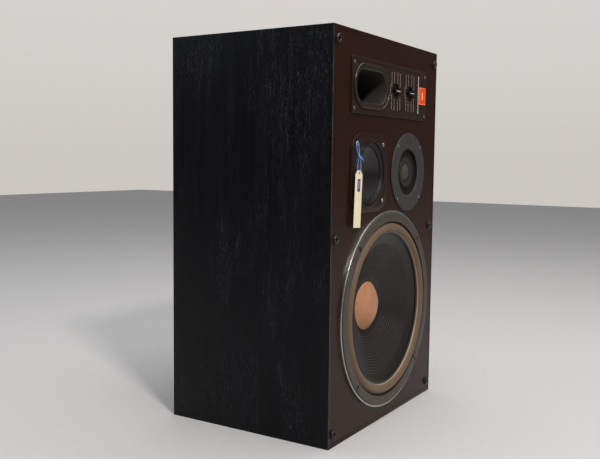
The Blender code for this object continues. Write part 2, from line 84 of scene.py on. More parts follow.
# ------------------------------------------------------------------ camera
def add_camera():
    az, el, roll = (math.radians(v) for v in (-58.11406, 5.096767, 0.6255067))
    fwd = Vector((-math.sin(az) * math.cos(el), math.cos(az) * math.cos(el), -math.sin(el)))
    right = Vector((math.cos(az), math.sin(az), 0))
    up = right.cross(fwd)
    r = right * math.cos(roll) + up * math.sin(roll)
    u = up * math.cos(roll) - right * math.sin(roll)
    cam = bpy.data.objects.new("camera", bpy.data.cameras.new("camera"))
    bpy.context.scene.collection.objects.link(cam)
    cam.data.lens = 47.572
    cam.data.sensor_width = 36.0
    cam.data.sensor_fit = "HORIZONTAL"
    cam.matrix_world = Matrix((
        (r.x, u.x, -fwd.x, -1.42484), (r.y, u.y, -fwd.y, FY - 0.68028),
        (r.z, u.z, -fwd.z, 0.51839), (0, 0, 0, 1)))
    bpy.context.scene.camera = cam


add_camera()
bpy.context.scene.view_settings.view_transform = "Standard"


# --------------------------------------------------------------- materials
class Mat:
    """A small builder round one Principled material."""

    def __init__(self, name, base, rough, metal=0.0, spec=0.5, coat=0.0, coat_rough=0.1,
                 sheen=0.0, sheen_rough=0.5):
        m = bpy.data.materials.new(name)
        m.use_nodes = True
        self.m, self.t = m, m.node_tree
        self.n, self.l = self.t.nodes, self.t.links
        self.b = self.n["Principled BSDF"]
        self.b.inputs["Base Color"].default_value = (*base, 1)
        self.b.inputs["Roughness"].default_value = rough
        self.b.inputs["Metallic"].default_value = metal
        self.b.inputs["Specular IOR Level"].default_value = spec
        self.b.inputs["Coat Weight"].default_value = coat
        self.b.inputs["Coat Roughness"].default_value = coat_rough
        self.b.inputs["Sheen Weight"].default_value = sheen
        self.b.inputs["Sheen Roughness"].default_value = sheen_rough
        self.base, self.rough = base, rough
        self.color_out = None
        self.rough_out = None
        self.normal_out = None
        self.coord = self.n.new("ShaderNodeTexCoord").outputs["Object"]

    def mapped(self, scale=(1, 1, 1), rot=(0, 0, 0), loc=(0, 0, 0)):
        mp = self.n.new("ShaderNodeMapping")
        mp.inputs["Scale"].default_value = scale
        mp.inputs["Rotation"].default_value = rot
        mp.inputs["Location"].default_value = loc
        self.l.new(self.coord, mp.inputs["Vector"])
        return mp.outputs["Vector"]

    def noise(self, scale, detail=4.0, rough=0.6, vec=None, distortion=0.0):
        t = self.n.new("ShaderNodeTexNoise")
        t.inputs["Scale"].default_value = scale
        t.inputs["Detail"].default_value = detail
        t.inputs["Roughness"].default_value = rough
        t.inputs["Distortion"].default_value = distortion
        self.l.new(vec or self.coord, t.inputs["Vector"])
        return t.outputs["Fac"]

    def voronoi(self, scale, vec=None, feature="F1", out="Distance"):
        t = self.n.new("ShaderNodeTexVoronoi")
        t.feature = feature
        t.inputs["Scale"].default_value = scale
        self.l.new(vec or self.coord, t.inputs["Vector"])
        return t.outputs[out]

    def ramp(self, fac, lo, hi, a=0.0, b=1.0):
        """Fac from lo..hi to a..b, clamped."""
        t = self.n.new("ShaderNodeMapRange")
        t.inputs["From Min"].default_value = lo
        t.inputs["From Max"].default_value = hi
        t.inputs["To Min"].default_value = a
        t.inputs["To Max"].default_value = b
        self.l.new(fac, t.inputs["Value"])
        return t.outputs["Result"]

    def math(self, op, a, b=None):
        t = self.n.new("ShaderNodeMath")
        t.operation = op
        for k, v in enumerate((a, b)):
            if v is None:
                continue
            if isinstance(v, (int, float)):
                t.inputs[k].default_value = v
            else:
                self.l.new(v, t.inputs[k])
        return t.outputs[0]

    def xyz(self):
        t = self.n.new("ShaderNodeSeparateXYZ")
        self.l.new(self.coord, t.inputs[0])
        return t.outputs

    def radius(self, cx=0.0, cy=0.0, upright=False):
        """Distance from an axis, in millimetres: local Z, or world Y through x=cx, z=cy."""
        o = self.xyz()
        a = self.math("SUBTRACT", o[0], cx * MM)
        b = self.math("SUBTRACT", o[2 if upright else 1], cy * MM)
        s = self.math("ADD", self.math("MULTIPLY", a, a), self.math("MULTIPLY", b, b))
        return self.math("MULTIPLY", self.math("SQRT", s), 1000.0)

    def mix(self, fac, color, blend="MIX"):
        """Mixes color over what the material has so far, by fac."""
        t = self.n.new("ShaderNodeMix")
        t.data_type = "RGBA"
        t.blend_type = blend
        if isinstance(fac, (int, float)):
            t.inputs["Factor"].default_value = fac
        else:
            self.l.new(fac, t.inputs["Factor"])
        if self.color_out is None:
            t.inputs[6].default_value = (*self.base, 1)
        else:
            self.l.new(self.color_out, t.inputs[6])
        if isinstance(color, tuple):
            t.inputs[7].default_value = (*color, 1)
        else:
            self.l.new(color, t.inputs[7])
        self.color_out = t.outputs[2]
        return self

    def vary_rough(self, fac, lo, hi):
        r = self.ramp(fac, 0.0, 1.0, lo, hi)
        self.rough_out = r if self.rough_out is None else self.math("ADD", self.rough_out, r)
        return self

    def bump(self, height, strength=0.3, dist=0.0005):
        t = self.n.new("ShaderNodeBump")
        t.inputs["Strength"].default_value = strength
        t.inputs["Distance"].default_value = dist
        self.l.new(height, t.inputs["Height"])
        if self.normal_out is not None:
            self.l.new(self.normal_out, t.inputs["Normal"])
        self.normal_out = t.outputs["Normal"]
        return self

    def done(self):
        if self.color_out is not None:
            self.l.new(self.color_out, self.b.inputs["Base Color"])
        if self.rough_out is not None:
            self.l.new(self.rough_out, self.b.inputs["Roughness"])
        if self.normal_out is not None:
            self.l.new(self.normal_out, self.b.inputs["Normal"])
        return self.m


def make_veneer(name, along, base=(0.0016, 0.0018, 0.0028)):
    """Black-stained ash: short open pores in drifting rows, some of them filled pale."""
    m = Mat(name, base, 0.46, spec=0.14)
    # the pores' long way, as the scale of each axis
    k = {"z": (1, 1, 0.075), "x": (0.075, 1, 1), "y": (1, 0.075, 1)}[along]
    broad_k = {"z": (1, 1, 0.05), "x": (0.05, 1, 1), "y": (1, 0.05, 1)}[along]
    wave = m.noise(3.2, 3, 0.5)
    shift = m.n.new("ShaderNodeVectorMath")
    shift.operation = "SCALE"
    m.l.new(m.n.new("ShaderNodeTexNoise").outputs["Color"], shift.inputs[0])
    drift = shift.inputs[0].links[0].from_node
    drift.inputs["Scale"].default_value = 2.6
    drift.inputs["Detail"].default_value = 2.0
    m.l.new(m.coord, drift.inputs["Vector"])
    shift.inputs["Scale"].default_value = 0.05
    add = m.n.new("ShaderNodeVectorMath")
    add.operation = "ADD"
    m.l.new(m.coord, add.inputs[0])
    m.l.new(shift.outputs[0], add.inputs[1])

    def stretched(kk):
        mp = m.n.new("ShaderNodeMapping")
        mp.inputs["Scale"].default_value = kk
        m.l.new(add.outputs[0], mp.inputs["Vector"])
        return mp.outputs["Vector"]

    fine = m.noise(470, 2.5, 0.6, stretched(k))
    hair = m.noise(1500, 2.0, 0.6, stretched(k))
    rows = m.noise(75, 3, 0.6, stretched(broad_k))
    patch = m.noise(9.0, 4, 0.6, stretched({"z": (1, 1, 0.4), "x": (0.4, 1, 1), "y": (1, 0.4, 1)}[along]))
    m.mix(m.ramp(rows, 0.40, 0.68, 0.0, 0.8), tuple(c * 1.9 for c in base))
    where = m.math("MULTIPLY", m.ramp(rows, 0.40, 0.58), m.ramp(patch, 0.42, 0.64, 0.03, 1.0))
    fleck = m.math("MULTIPLY", m.ramp(fine, 0.57, 0.64), where)
    m.mix(m.math("MULTIPLY", fleck, 0.75), (0.025, 0.028, 0.036))
    dots = m.math("MULTIPLY", m.ramp(hair, 0.63, 0.70), m.ramp(patch, 0.47, 0.60))
    m.mix(m.math("MULTIPLY", dots, 0.6), (0.092, 0.099, 0.115))
    pores = m.ramp(hair, 0.30, 0.44)
    m.vary_rough(rows, 0.34, 0.52)
    m.bump(pores, 0.28, 0.0002).bump(fine, 0.22, 0.0003).bump(wave, 0.05, 0.002)
    return m.done()


def speckle(m, scale, size, color, amount):
    """Small scattered specks, such as dust."""
    d = m.voronoi(scale)
    keep = m.ramp(m.voronoi(scale, out="Color"), 0.0, 1.0)
    spot = m.math("MULTIPLY", m.ramp(d, size, size * 0.4, 0.0, 1.0), m.ramp(keep, 0.72, 0.86))
    m.mix(m.math("MULTIPLY", spot, amount), color)


M = {}
M["veneer_z"] = make_veneer("veneer_upright", "z")
M["veneer_x"] = make_veneer("veneer_across", "x")

m = Mat("worn_edge", (0.12, 0.115, 0.105), 0.55)
m.mix(m.ramp(m.noise(260, 4, 0.7, m.mapped((1, 1, 0.10))), 0.42, 0.62), (0.012, 0.011, 0.011))
M["worn_edge"] = m.done()

m = Mat("baffle_paint", (0.0195, 0.0054, 0.0024), 0.34, spec=0.18)
fine = m.noise(900, 3, 0.6)
cloud = m.noise(9, 4, 0.6)
m.mix(m.ramp(cloud, 0.35, 0.7, 0.0, 0.5), (0.0140, 0.0054, 0.0030))
m.mix(m.ramp(m.noise(120, 4, 0.7), 0.60, 0.75, 0.0, 0.25), (0.024, 0.012, 0.009))
speckle(m, 75, 0.10, (0.13, 0.10, 0.085), 0.55)
speckle(m, 190, 0.14, (0.075, 0.055, 0.045), 0.5)
m.vary_rough(cloud, 0.28, 0.40)
m.bump(fine, 0.10, 0.0002).bump(m.noise(60, 3, 0.5), 0.05, 0.0008)
M["baffle"] = m.done()

m = Mat("back_board", (0.020, 0.019, 0.018), 0.62, spec=0.35)
m.mix(m.ramp(m.noise(420, 4, 0.7), 0.45, 0.7), (0.038, 0.036, 0.034))
m.mix(m.ramp(m.voronoi(260, m.mapped((1, 1, 0.45))), 0.05, 0.4, 0.5, 0.0), (0.011, 0.0105, 0.010))
m.vary_rough(m.noise(18), 0.5, 0.72)
m.bump(m.noise(700, 3, 0.7), 0.25, 0.0003)
M["back_board"] = m.done()

m = Mat("black_plastic", (0.006, 0.006, 0.0065), 0.36)
m.vary_rough(m.noise(60), 0.30, 0.50)
m.mix(m.ramp(m.noise(700, 3), 0.5, 0.75, 0.0, 0.4), (0.013, 0.013, 0.0135))
m.bump(m.noise(2600, 2, 0.5), 0.10, 0.00010)
M["black_plastic"] = m.done()

m = Mat("rim_silver", (0.50, 0.49, 0.47), 0.27, metal=1.0)
m.mix(m.ramp(m.noise(300, 4, 0.7), 0.40, 0.7, 0.0, 0.7), (0.34, 0.33, 0.32))
m.vary_rough(m.noise(120, 4), 0.20, 0.42)
m.bump(m.noise(1400, 3), 0.06, 0.0001)
M["rim_silver"] = m.done()

m = Mat("basket_grey", (0.16, 0.16, 0.165), 0.45, metal=0.5)
m.mix(m.ramp(m.noise(200, 4), 0.4, 0.7), (0.10, 0.10, 0.105))
m.vary_rough(m.noise(90), 0.35, 0.6)
M["basket"] = m.done()

m = Mat("gasket_fibre", (0.048, 0.040, 0.031), 0.50, spec=0.34)
m.mix(m.ramp(m.noise(420, 5, 0.75), 0.40, 0.70, 0.0, 0.7), (0.070, 0.060, 0.050))
m.mix(m.ramp(m.noise(28, 4, 0.6), 0.42, 0.72, 0.0, 0.5), (0.034, 0.026, 0.020))
speckle(m, 210, 0.12, (0.22, 0.20, 0.18), 0.5)
m.vary_rough(m.noise(60), 0.38, 0.56)
m.bump(m.noise(1600, 3, 0.7), 0.16, 0.0002)
M["gasket"] = m.done()

m = Mat("surround_cloth", (0.125, 0.070, 0.034), 0.50, spec=0.36, sheen=0.06)
m.mix(m.ramp(m.noise(34, 4, 0.6), 0.40, 0.68, 0.0, 0.65), (0.092, 0.062, 0.037))
m.mix(m.ramp(m.noise(700, 4, 0.7), 0.45, 0.7, 0.0, 0.4), (0.165, 0.108, 0.064))
rad = m.radius(*centre("woofer_frame"), upright=True)
# a pale ring at the roll's inner edge: a painted highlight on the glue line there
m.mix(m.ramp(rad, 152.4, 153.6, 0.75, 0.0), (0.36, 0.31, 0.24))
m.mix(m.ramp(rad, 151.7, 152.3, 0.95, 0.0), (0.0115, 0.0088, 0.0074))
# the roll's outer edge darkened nearly to black: painted shadow under the gasket's inner edge
m.mix(m.ramp(rad, 171.9, 173.0, 0.0, 0.97), (0.006, 0.005, 0.005))
m.vary_rough(m.noise(45), 0.42, 0.62)
m.bump(m.noise(2400, 2, 0.6), 0.18, 0.00018)
M["surround"] = m.done()

m = Mat("cone_paper", (0.0115, 0.0088, 0.0074), 0.44, spec=0.34)
fibre = m.noise(520, 5, 0.75)
m.mix(m.ramp(fibre, 0.42, 0.72, 0.0, 0.6), (0.019, 0.0155, 0.0135))
m.mix(m.ramp(m.noise(16, 4, 0.6), 0.42, 0.74, 0.0, 0.5), (0.011, 0.0102, 0.0105))
speckle(m, 260, 0.12, (0.09, 0.08, 0.07), 0.5)
m.vary_rough(m.noise(30), 0.32, 0.46)
m.bump(m.noise(1500, 4, 0.7), 0.14, 0.0002)
M["cone"] = m.done()

m = Mat("dust_cap_paper", (0.42, 0.185, 0.092), 0.66, spec=0.30, sheen=0.1)
m.mix(m.ramp(m.noise(240, 6, 0.75), 0.40, 0.66, 0.0, 0.85), (0.52, 0.270, 0.150))
m.mix(m.ramp(m.noise(36, 4, 0.6), 0.40, 0.66, 0.0, 0.6), (0.34, 0.155, 0.085))
m.mix(m.ramp(m.noise(900, 4, 0.8), 0.56, 0.70, 0.0, 0.6), (0.20, 0.085, 0.045))
m.bump(m.noise(900, 5, 0.75), 0.30, 0.0003)
M["dust_cap"] = m.done()

m = Mat("mid_flange_paint", (0.0130, 0.0045, 0.0026), 0.32, spec=0.26)
m.mix(m.ramp(m.noise(140, 4), 0.40, 0.7), (0.017, 0.0085, 0.0065))
speckle(m, 150, 0.12, (0.09, 0.075, 0.065), 0.5)
m.vary_rough(m.noise(60), 0.26, 0.42)
m.bump(m.noise(1500, 3), 0.10, 0.00015)
M["mid_flange"] = m.done()

m = Mat("mid_cone_paper", (0.0070, 0.0050, 0.0068), 0.30, spec=0.42)
m.mix(m.ramp(m.noise(420, 5, 0.7), 0.42, 0.72, 0.0, 0.6), (0.0150, 0.0115, 0.0145))
m.mix(m.ramp(m.noise(45, 4, 0.6), 0.42, 0.72, 0.0, 0.5), (0.0125, 0.0075, 0.0075))
m.vary_rough(m.noise(50), 0.25, 0.40)
m.bump(m.noise(1300, 4, 0.7), 0.10, 0.00018)
M["mid_cone"] = m.done()

m = Mat("mid_fold_cloth", (0.0055, 0.0042, 0.0046), 0.44, spec=0.30)
m.mix(m.ramp(m.noise(900, 3, 0.7), 0.42, 0.7, 0.0, 0.6), (0.0100, 0.0078, 0.0082))
rad = m.radius(*centre("mid_frame"), upright=True)
# the folds' outer edge darkened nearly to black: painted shadow in the gap by the frame's opening
m.mix(m.ramp(rad, 58.2, 59.2, 0.0, 0.96), (0.0012, 0.0010, 0.0010))
m.vary_rough(m.noise(60), 0.34, 0.50)
m.bump(m.noise(2600, 2), 0.16, 0.00015)
M["mid_fold"] = m.done()

m = Mat("mid_cap_paper", (0.040, 0.018, 0.012), 0.40, spec=0.5)
m.mix(m.ramp(m.noise(520, 5, 0.7), 0.4, 0.7, 0.0, 0.6), (0.058, 0.030, 0.022))
m.bump(m.noise(1300, 4), 0.12, 0.0002)
M["mid_cap"] = m.done()

m = Mat("tweeter_moulding", (0.034, 0.0320, 0.0310), 0.55, spec=0.30)
m.mix(m.ramp(m.noise(520, 4, 0.7), 0.40, 0.7, 0.0, 0.5), (0.045, 0.0430, 0.0415))
m.mix(m.ramp(m.noise(24, 4, 0.6), 0.45, 0.75, 0.0, 0.5), (0.026, 0.0245, 0.022))
speckle(m, 230, 0.13, (0.14, 0.135, 0.12), 0.4)
m.vary_rough(m.noise(40), 0.46, 0.62)
m.bump(m.noise(2200, 3, 0.6), 0.14, 0.00014)
M["tweeter_face"] = m.done()

m = Mat("tweeter_felt", (0.0080, 0.0064, 0.0056), 0.85, spec=0.1, sheen=0.02)
m.mix(m.ramp(m.noise(800, 4, 0.8), 0.4, 0.7), (0.0150, 0.0118, 0.0104))
m.bump(m.noise(1700, 4, 0.8), 0.5, 0.0004)
M["tweeter_felt"] = m.done()

m = Mat("tweeter_cone_paper", (0.0175, 0.0150, 0.0122), 0.60, spec=0.28)
m.mix(m.ramp(m.noise(620, 5, 0.7), 0.4, 0.7, 0.0, 0.8), (0.0125, 0.0102, 0.0084))
rad = m.radius()
m.mix(m.ramp(rad, 23.4, 24.6, 0.0, 0.6), (0.036, 0.033, 0.028))
m.mix(m.ramp(rad, 25.8, 26.8, 0.0, 0.9), (0.0125, 0.0104, 0.0088))
m.mix(m.ramp(rad, 16.6, 18.4, 0.8, 0.0), (0.0085, 0.0070, 0.0058))
m.bump(m.noise(1500, 4, 0.7), 0.2, 0.0002)
M["tweeter_cone"] = m.done()

m = Mat("tweeter_cap_paper", (0.052, 0.042, 0.028), 0.52, spec=0.35)
m.mix(m.ramp(m.noise(160, 5, 0.7), 0.42, 0.66, 0.0, 0.8), (0.030, 0.0215, 0.0130))
m.mix(m.ramp(m.noise(700, 4, 0.7), 0.5, 0.7, 0.0, 0.5), (0.115, 0.102, 0.076))
m.bump(m.noise(1200, 4, 0.7), 0.22, 0.0002)
M["tweeter_cap"] = m.done()

m = Mat("plate_metal", (0.0215, 0.0088, 0.0048), 0.36, metal=0.1, spec=0.23)
brushed = m.noise(900, 4, 0.65, m.mapped((0.03, 1, 1)))
m.mix(m.ramp(brushed, 0.38, 0.68, 0.0, 0.8), (0.026, 0.0150, 0.0115))
m.mix(m.ramp(m.noise(14, 3), 0.4, 0.7, 0.0, 0.4), (0.016, 0.0085, 0.0065))
speckle(m, 160, 0.12, (0.13, 0.11, 0.095), 0.45)
m.vary_rough(brushed, 0.30, 0.46)
m.bump(brushed, 0.10, 0.0001)
M["plate"] = m.done()

m = Mat("port_moulding", (0.0165, 0.0095, 0.0070), 0.34, spec=0.34)
m.mix(m.ramp(m.noise(500, 3), 0.45, 0.7, 0.0, 0.5), (0.023, 0.0155, 0.0125))
m.vary_rough(m.noise(60), 0.28, 0.42)
m.bump(m.noise(2000, 3), 0.08, 0.0001)
M["port"] = m.done()

m = Mat("port_bore", (0.026, 0.0235, 0.0205), 0.55, spec=0.30)
m.mix(m.ramp(m.noise(420, 4, 0.7), 0.42, 0.7, 0.0, 0.7), (0.036, 0.033, 0.029))
m.mix(m.ramp(m.noise(40, 4), 0.45, 0.7, 0.0, 0.4), (0.018, 0.016, 0.0135))
m.bump(m.noise(1400, 4, 0.7), 0.2, 0.0002)
M["port_bore"] = m.done()

m = Mat("knob_plastic", (0.0012, 0.0012, 0.0013), 0.34, spec=0.16)
m.vary_rough(m.noise(150), 0.20, 0.34)
m.bump(m.noise(2500, 2), 0.05, 0.0001)
M["knob"] = m.done()

m = Mat("marking_white", (0.62, 0.60, 0.58), 0.5)
m.mix(m.ramp(m.noise(900, 4, 0.8), 0.40, 0.62, 0.55, 0.0), (0.30, 0.28, 0.27))
M["white"] = m.done()

m = Mat("marking_grey", (0.46, 0.41, 0.39), 0.55)
m.mix(m.ramp(m.noise(700, 4, 0.8), 0.42, 0.66, 0.8, 0.0), (0.11, 0.085, 0.075))
M["marks"] = m.done()

m = Mat("badge_enamel", (0.74, 0.062, 0.002), 0.42, spec=0.18)
m.mix(m.ramp(m.noise(160, 4), 0.40, 0.7, 0.0, 0.5), (0.80, 0.085, 0.003))
m.vary_rough(m.noise(200), 0.30, 0.44)
m.bump(m.noise(900, 3), 0.05, 0.0001)
M["badge"] = m.done()

m = Mat("badge_pale", (0.90, 0.50, 0.36), 0.40)
m.mix(m.ramp(m.noise(500, 4), 0.4, 0.7, 0.0, 0.5), (0.92, 0.42, 0.26))
M["badge_pale"] = m.done()

# bright steel, used for the one bass screw that carries a painted glint
m = Mat("screw_steel", (0.62, 0.60, 0.57), 0.30, metal=0.75)
m.mix(m.ramp(m.noise(900, 4, 0.7), 0.42, 0.7, 0.0, 0.8), (0.26, 0.25, 0.23))
m.vary_rough(m.noise(600), 0.22, 0.42)
M["steel"] = m.done()

m = Mat("screw_worn", (0.30, 0.285, 0.265), 0.36, metal=0.7)
m.mix(m.ramp(m.noise(900, 3), 0.45, 0.65, 0.0, 0.5), (0.16, 0.15, 0.14))
m.vary_rough(m.noise(300), 0.30, 0.46)
m.bump(m.noise(1800, 3), 0.12, 0.0001)
M["screw_worn"] = m.done()

m = Mat("screw_dark", (0.075, 0.066, 0.058), 0.35, metal=0.8)
m.mix(m.ramp(m.noise(900, 4, 0.7), 0.42, 0.7, 0.0, 0.8), (0.032, 0.028, 0.026))
m.vary_rough(m.noise(600), 0.25, 0.5)
M["screw_dark"] = m.done()

m = Mat("screw_bronze", (0.20, 0.175, 0.15), 0.34, metal=0.6)
m.mix(m.ramp(m.noise(900, 4, 0.7), 0.42, 0.7, 0.0, 0.8), (0.07, 0.05, 0.037))
m.vary_rough(m.noise(600), 0.28, 0.5)
M["screw_bronze"] = m.done()

m = Mat("red_plastic", (0.42, 0.018, 0.012), 0.34)
m.mix(m.ramp(m.noise(300, 3), 0.45, 0.7, 0.0, 0.5), (0.36, 0.012, 0.010))
m.vary_rough(m.noise(100), 0.28, 0.44)
M["red"] = m.done()

m = Mat("card_paper", (0.74, 0.67, 0.48), 0.78, spec=0.25)
m.mix(m.ramp(m.noise(240, 5, 0.7), 0.42, 0.66, 0.0, 0.6), (0.69, 0.62, 0.43))
m.mix(m.ramp(m.noise(20, 4, 0.6), 0.48, 0.74, 0.0, 0.5), (0.63, 0.55, 0.36))
m.bump(m.noise(1500, 4, 0.7), 0.12, 0.0001)
M["card"] = m.done()

m = Mat("print_violet", (0.060, 0.032, 0.135), 0.6)
m.mix(m.ramp(m.noise(900, 4, 0.8), 0.46, 0.66, 0.0, 0.4), (0.13, 0.09, 0.22))
M["violet"] = m.done()

m = Mat("print_lilac", (0.30, 0.24, 0.42), 0.6)
m.mix(m.ramp(m.noise(1200, 4, 0.8), 0.42, 0.62, 0.0, 0.7), (0.42, 0.36, 0.52))
M["lilac"] = m.done()

m = Mat("string_cotton", (0.14, 0.40, 0.78), 0.8, sheen=0.15)
m.mix(m.ramp(m.noise(900, 4, 0.8), 0.40, 0.66, 0.0, 0.85), (0.10, 0.30, 0.66))
m.mix(m.ramp(m.noise(350, 3, 0.8), 0.52, 0.7, 0.0, 0.8), (0.36, 0.62, 0.88))
m.bump(m.noise(2600, 3, 0.7), 0.4, 0.0002)
M["string"] = m.done()

for key, name, base, rough, metal in (
        ("ferrite", "magnet_ferrite", (0.045, 0.045, 0.048), 0.6, 0.2),
        ("iron", "motor_iron", (0.30, 0.29, 0.27), 0.38, 0.9),
        ("copper", "coil_wire", (0.55, 0.24, 0.12), 0.35, 0.9),
        ("spider", "spider_cloth", (0.42, 0.24, 0.07), 0.75, 0.0),
        ("board", "board_green", (0.05, 0.10, 0.045), 0.5, 0.0)):
    m = Mat(name, base, rough, metal)
    m.mix(m.ramp(m.noise(500, 4, 0.7), 0.4, 0.7, 0.0, 0.6), tuple(c * 0.65 for c in base))
    m.vary_rough(m.noise(160), rough * 0.8, min(0.95, rough * 1.25))
    m.bump(m.noise(1500, 3), 0.15, 0.0002)
    M[key] = m.done()


# ---------------------------------------------------------------- geometry
def link(name, mesh, mats, x=None, z=None, facing=True, smooth=35, body="cabinet",
         replaces=(), loc=None, rot=None):
    ob = bpy.data.objects.new(name, mesh)
    bpy.context.scene.collection.objects.link(ob)
    if loc is not None:
        ob.location = loc
    elif x is not None:
        ob.location = world(x, z)
    if rot is not None:
        ob.rotation_euler = rot
    elif facing:
        ob.rotation_euler = FACING
    for mt in (mats if isinstance(mats, (list, tuple)) else [mats]):
        mesh.materials.append(mt)
    if smooth:
        mesh.shade_smooth()
        mesh.set_sharp_from_angle(angle=math.radians(smooth))
    if body:
        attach(ob, body)
    if replaces:
        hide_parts(*([replaces] if isinstance(replaces, str) else replaces))
    return ob


def revolve_mesh(name, prof, seg, pick=None, bumps=None, arc=None):
    """Turns a closed (r, t) profile in mm about local Z. pick(i, r, t) gives a face's material.
    bumps(r, t, angle) may shift a point along Z. arc=(from, to) in degrees makes a part turn."""
    pts = [tuple(p) for p in prof]
    axis_ends = pts[0][0] < 1e-6 and pts[-1][0] < 1e-6
    full = arc is None
    n_ang = seg if full else seg + 1
    a0, a1 = (0.0, math.tau) if full else (math.radians(arc[0]), math.radians(arc[1]))
    bm = bmesh.new()
    rows = []
    for i, (r, t) in enumerate(pts):
        if r < 1e-6:
            rows.append([bm.verts.new((0, 0, t * MM))])
            continue
        row = []
        for k in range(n_ang):
            a = a0 + (a1 - a0) * k / seg
            tt = t + (bumps(r, t, a) if bumps else 0.0)
            row.append(bm.verts.new((r * MM * math.cos(a), r * MM * math.sin(a), tt * MM)))
        rows.append(row)
    pairs = list(zip(range(len(pts) - 1), range(1, len(pts))))
    if not axis_ends:
        pairs.append((len(pts) - 1, 0))
    for i, j in pairs:
        A, B = rows[i], rows[j]
        for k in range(seg):
            k2 = (k + 1) % n_ang if full else k + 1
            if len(A) == 1 and len(B) == 1:
                continue
            if len(A) == 1:
                f = bm.faces.new((A[0], B[k], B[k2]))
            elif len(B) == 1:
                f = bm.faces.new((A[k], B[0], A[k2]))
            else:
                f = bm.faces.new((A[k], B[k], B[k2], A[k2]))
            if pick:
                f.material_index = pick(i, (pts[i][0] + pts[j][0]) / 2, (pts[i][1] + pts[j][1]) / 2)
    if not full:
        for k in (0, -1):
            bm.faces.new([row[k] for row in rows])
    bmesh.ops.recalc_face_normals(bm, faces=bm.faces)
    mesh = bpy.data.meshes.new(name)
    bm.to_mesh(mesh)
    bm.free()
    return mesh


def fillet(pts, r, n=3, closed=True):
    """Rounds the corners of a profile; r is one radius or one for each point."""
    out = []
    m = len(pts)
    for i, p in enumerate(pts):
        rr = r[i] if isinstance(r, (list, tuple)) else r
        if rr <= 0 or (not closed and i in (0, m - 1)):
            out.append(tuple(p))
            continue
        a, b = np.array(pts[i - 1], float), np.array(pts[(i + 1) % m], float)
        q = np.array(p, float)
        u, v = a - q, b - q
        lu, lv = np.linalg.norm(u), np.linalg.norm(v)
        if lu < 1e-6 or lv < 1e-6:
            out.append(tuple(p))
            continue
        u, v = u / lu, v / lv
        half = math.acos(max(-1, min(1, float(u @ v)))) / 2
        if half > math.radians(86) or half < 0.05:
            out.append(tuple(p))
            continue
        cut = min(rr / math.tan(half), 0.45 * lu, 0.45 * lv)
        s, e = q + u * cut, q + v * cut
        for k in range(n + 1):
            w = k / n
            # a quadratic through the cut points stands in for the arc
            out.append(tuple((1 - w) ** 2 * s + 2 * w * (1 - w) * q + w * w * e))
    return out


def circle(r, n, cx=0.0, cy=0.0):
    return lambda d: [(cx + (r + d) * math.cos(math.tau * i / n),
                       cy + (r + d) * math.sin(math.tau * i / n)) for i in range(n)]


def rounded(w, h, r, n, cx=0.0, cy=0.0):
    def at(d):
        pts = []
        ww, hh, rr = w - 2 * d, h - 2 * d, max(r - d, 0.02)
        for sx, sy, a0 in ((1, 1, 0), (-1, 1, 90), (-1, -1, 180), (1, -1, 270)):
            for i in range(n):
                a = math.radians(a0 + 90.0 * i / (n - 1))
                pts.append((cx + sx * (ww / 2 - rr) + rr * math.cos(a),
                            cy + sy * (hh / 2 - rr) + rr * math.sin(a)))
        return pts
    return at


def plate_mesh(name, outer, holes, t0, t1, bevel, steps=3, back_bevel=0.0, hole_bevel=None):
    """A flat plate with rounded front edges. Each outline is a function of the inset."""
    bm = bmesh.new()
    hb = bevel if hole_bevel is None else hole_bevel

    def ring(shape, d, t):
        return [bm.verts.new((x * MM, y * MM, t * MM)) for x, y in shape(d)]

    fronts, backs = [], []
    for shape, b in [(outer, bevel)] + [(h, hb) for h in holes]:
        rings = []
        if back_bevel:
            rings.append(ring(shape, back_bevel, t0))
            rings.append(ring(shape, 0, t0 + back_bevel))
        else:
            rings.append(ring(shape, 0, t0))
        for k in range(steps + 1):
            a = math.pi / 2 * k / steps
            rings.append(ring(shape, b * (1 - math.cos(a)), t1 - b + b * math.sin(a)))
        for A, B in zip(rings, rings[1:]):
            for i in range(len(A)):
                j = (i + 1) % len(A)
                bm.faces.new((A[i], A[j], B[j], B[i]))
        backs.append(rings[0])
        fronts.append(rings[-1])
    for group in (fronts, backs):
        polys = [[v.co.copy() for v in g] for g in group]
        flat = [v for g in group for v in g]
        for tri in tessellate_polygon(polys):
            try:
                bm.faces.new([flat[i] for i in tri])
            except ValueError:
                pass
    bmesh.ops.recalc_face_normals(bm, faces=bm.faces)
    mesh = bpy.data.meshes.new(name)
    bm.to_mesh(mesh)
    bm.free()
    return mesh


def join_meshes(name, parts):
    """One mesh from [(mesh, matrix, material index)]."""
    bm = bmesh.new()
    for mesh, mat, idx in parts:
        start = len(bm.faces)
        tmp = mesh.copy()
        tmp.transform(mat)
        bm.from_mesh(tmp)
        bpy.data.meshes.remove(tmp)
        bm.faces.ensure_lookup_table()
        if idx is not None:
            for f in bm.faces[start:]:
                f.material_index = idx
    out = bpy.data.meshes.new(name)
    bm.to_mesh(out)
    bm.free()
    return out


def box_mesh(name, lo, hi, bevel=0.0, seg=2):
    bm = bmesh.new()
    lo, hi = Vector(lo), Vector(hi)
    bmesh.ops.create_cube(bm, size=1.0, matrix=Matrix.Translation((lo + hi) / 2)
                          @ Matrix.Diagonal((*(hi - lo), 1.0)))
    if bevel:
        bmesh.ops.bevel(bm, geom=bm.edges[:], offset=bevel, segments=seg, profile=0.6,
                        affect="EDGES")
    mesh = bpy.data.meshes.new(name)
    bm.to_mesh(mesh)
    bm.free()
    return mesh


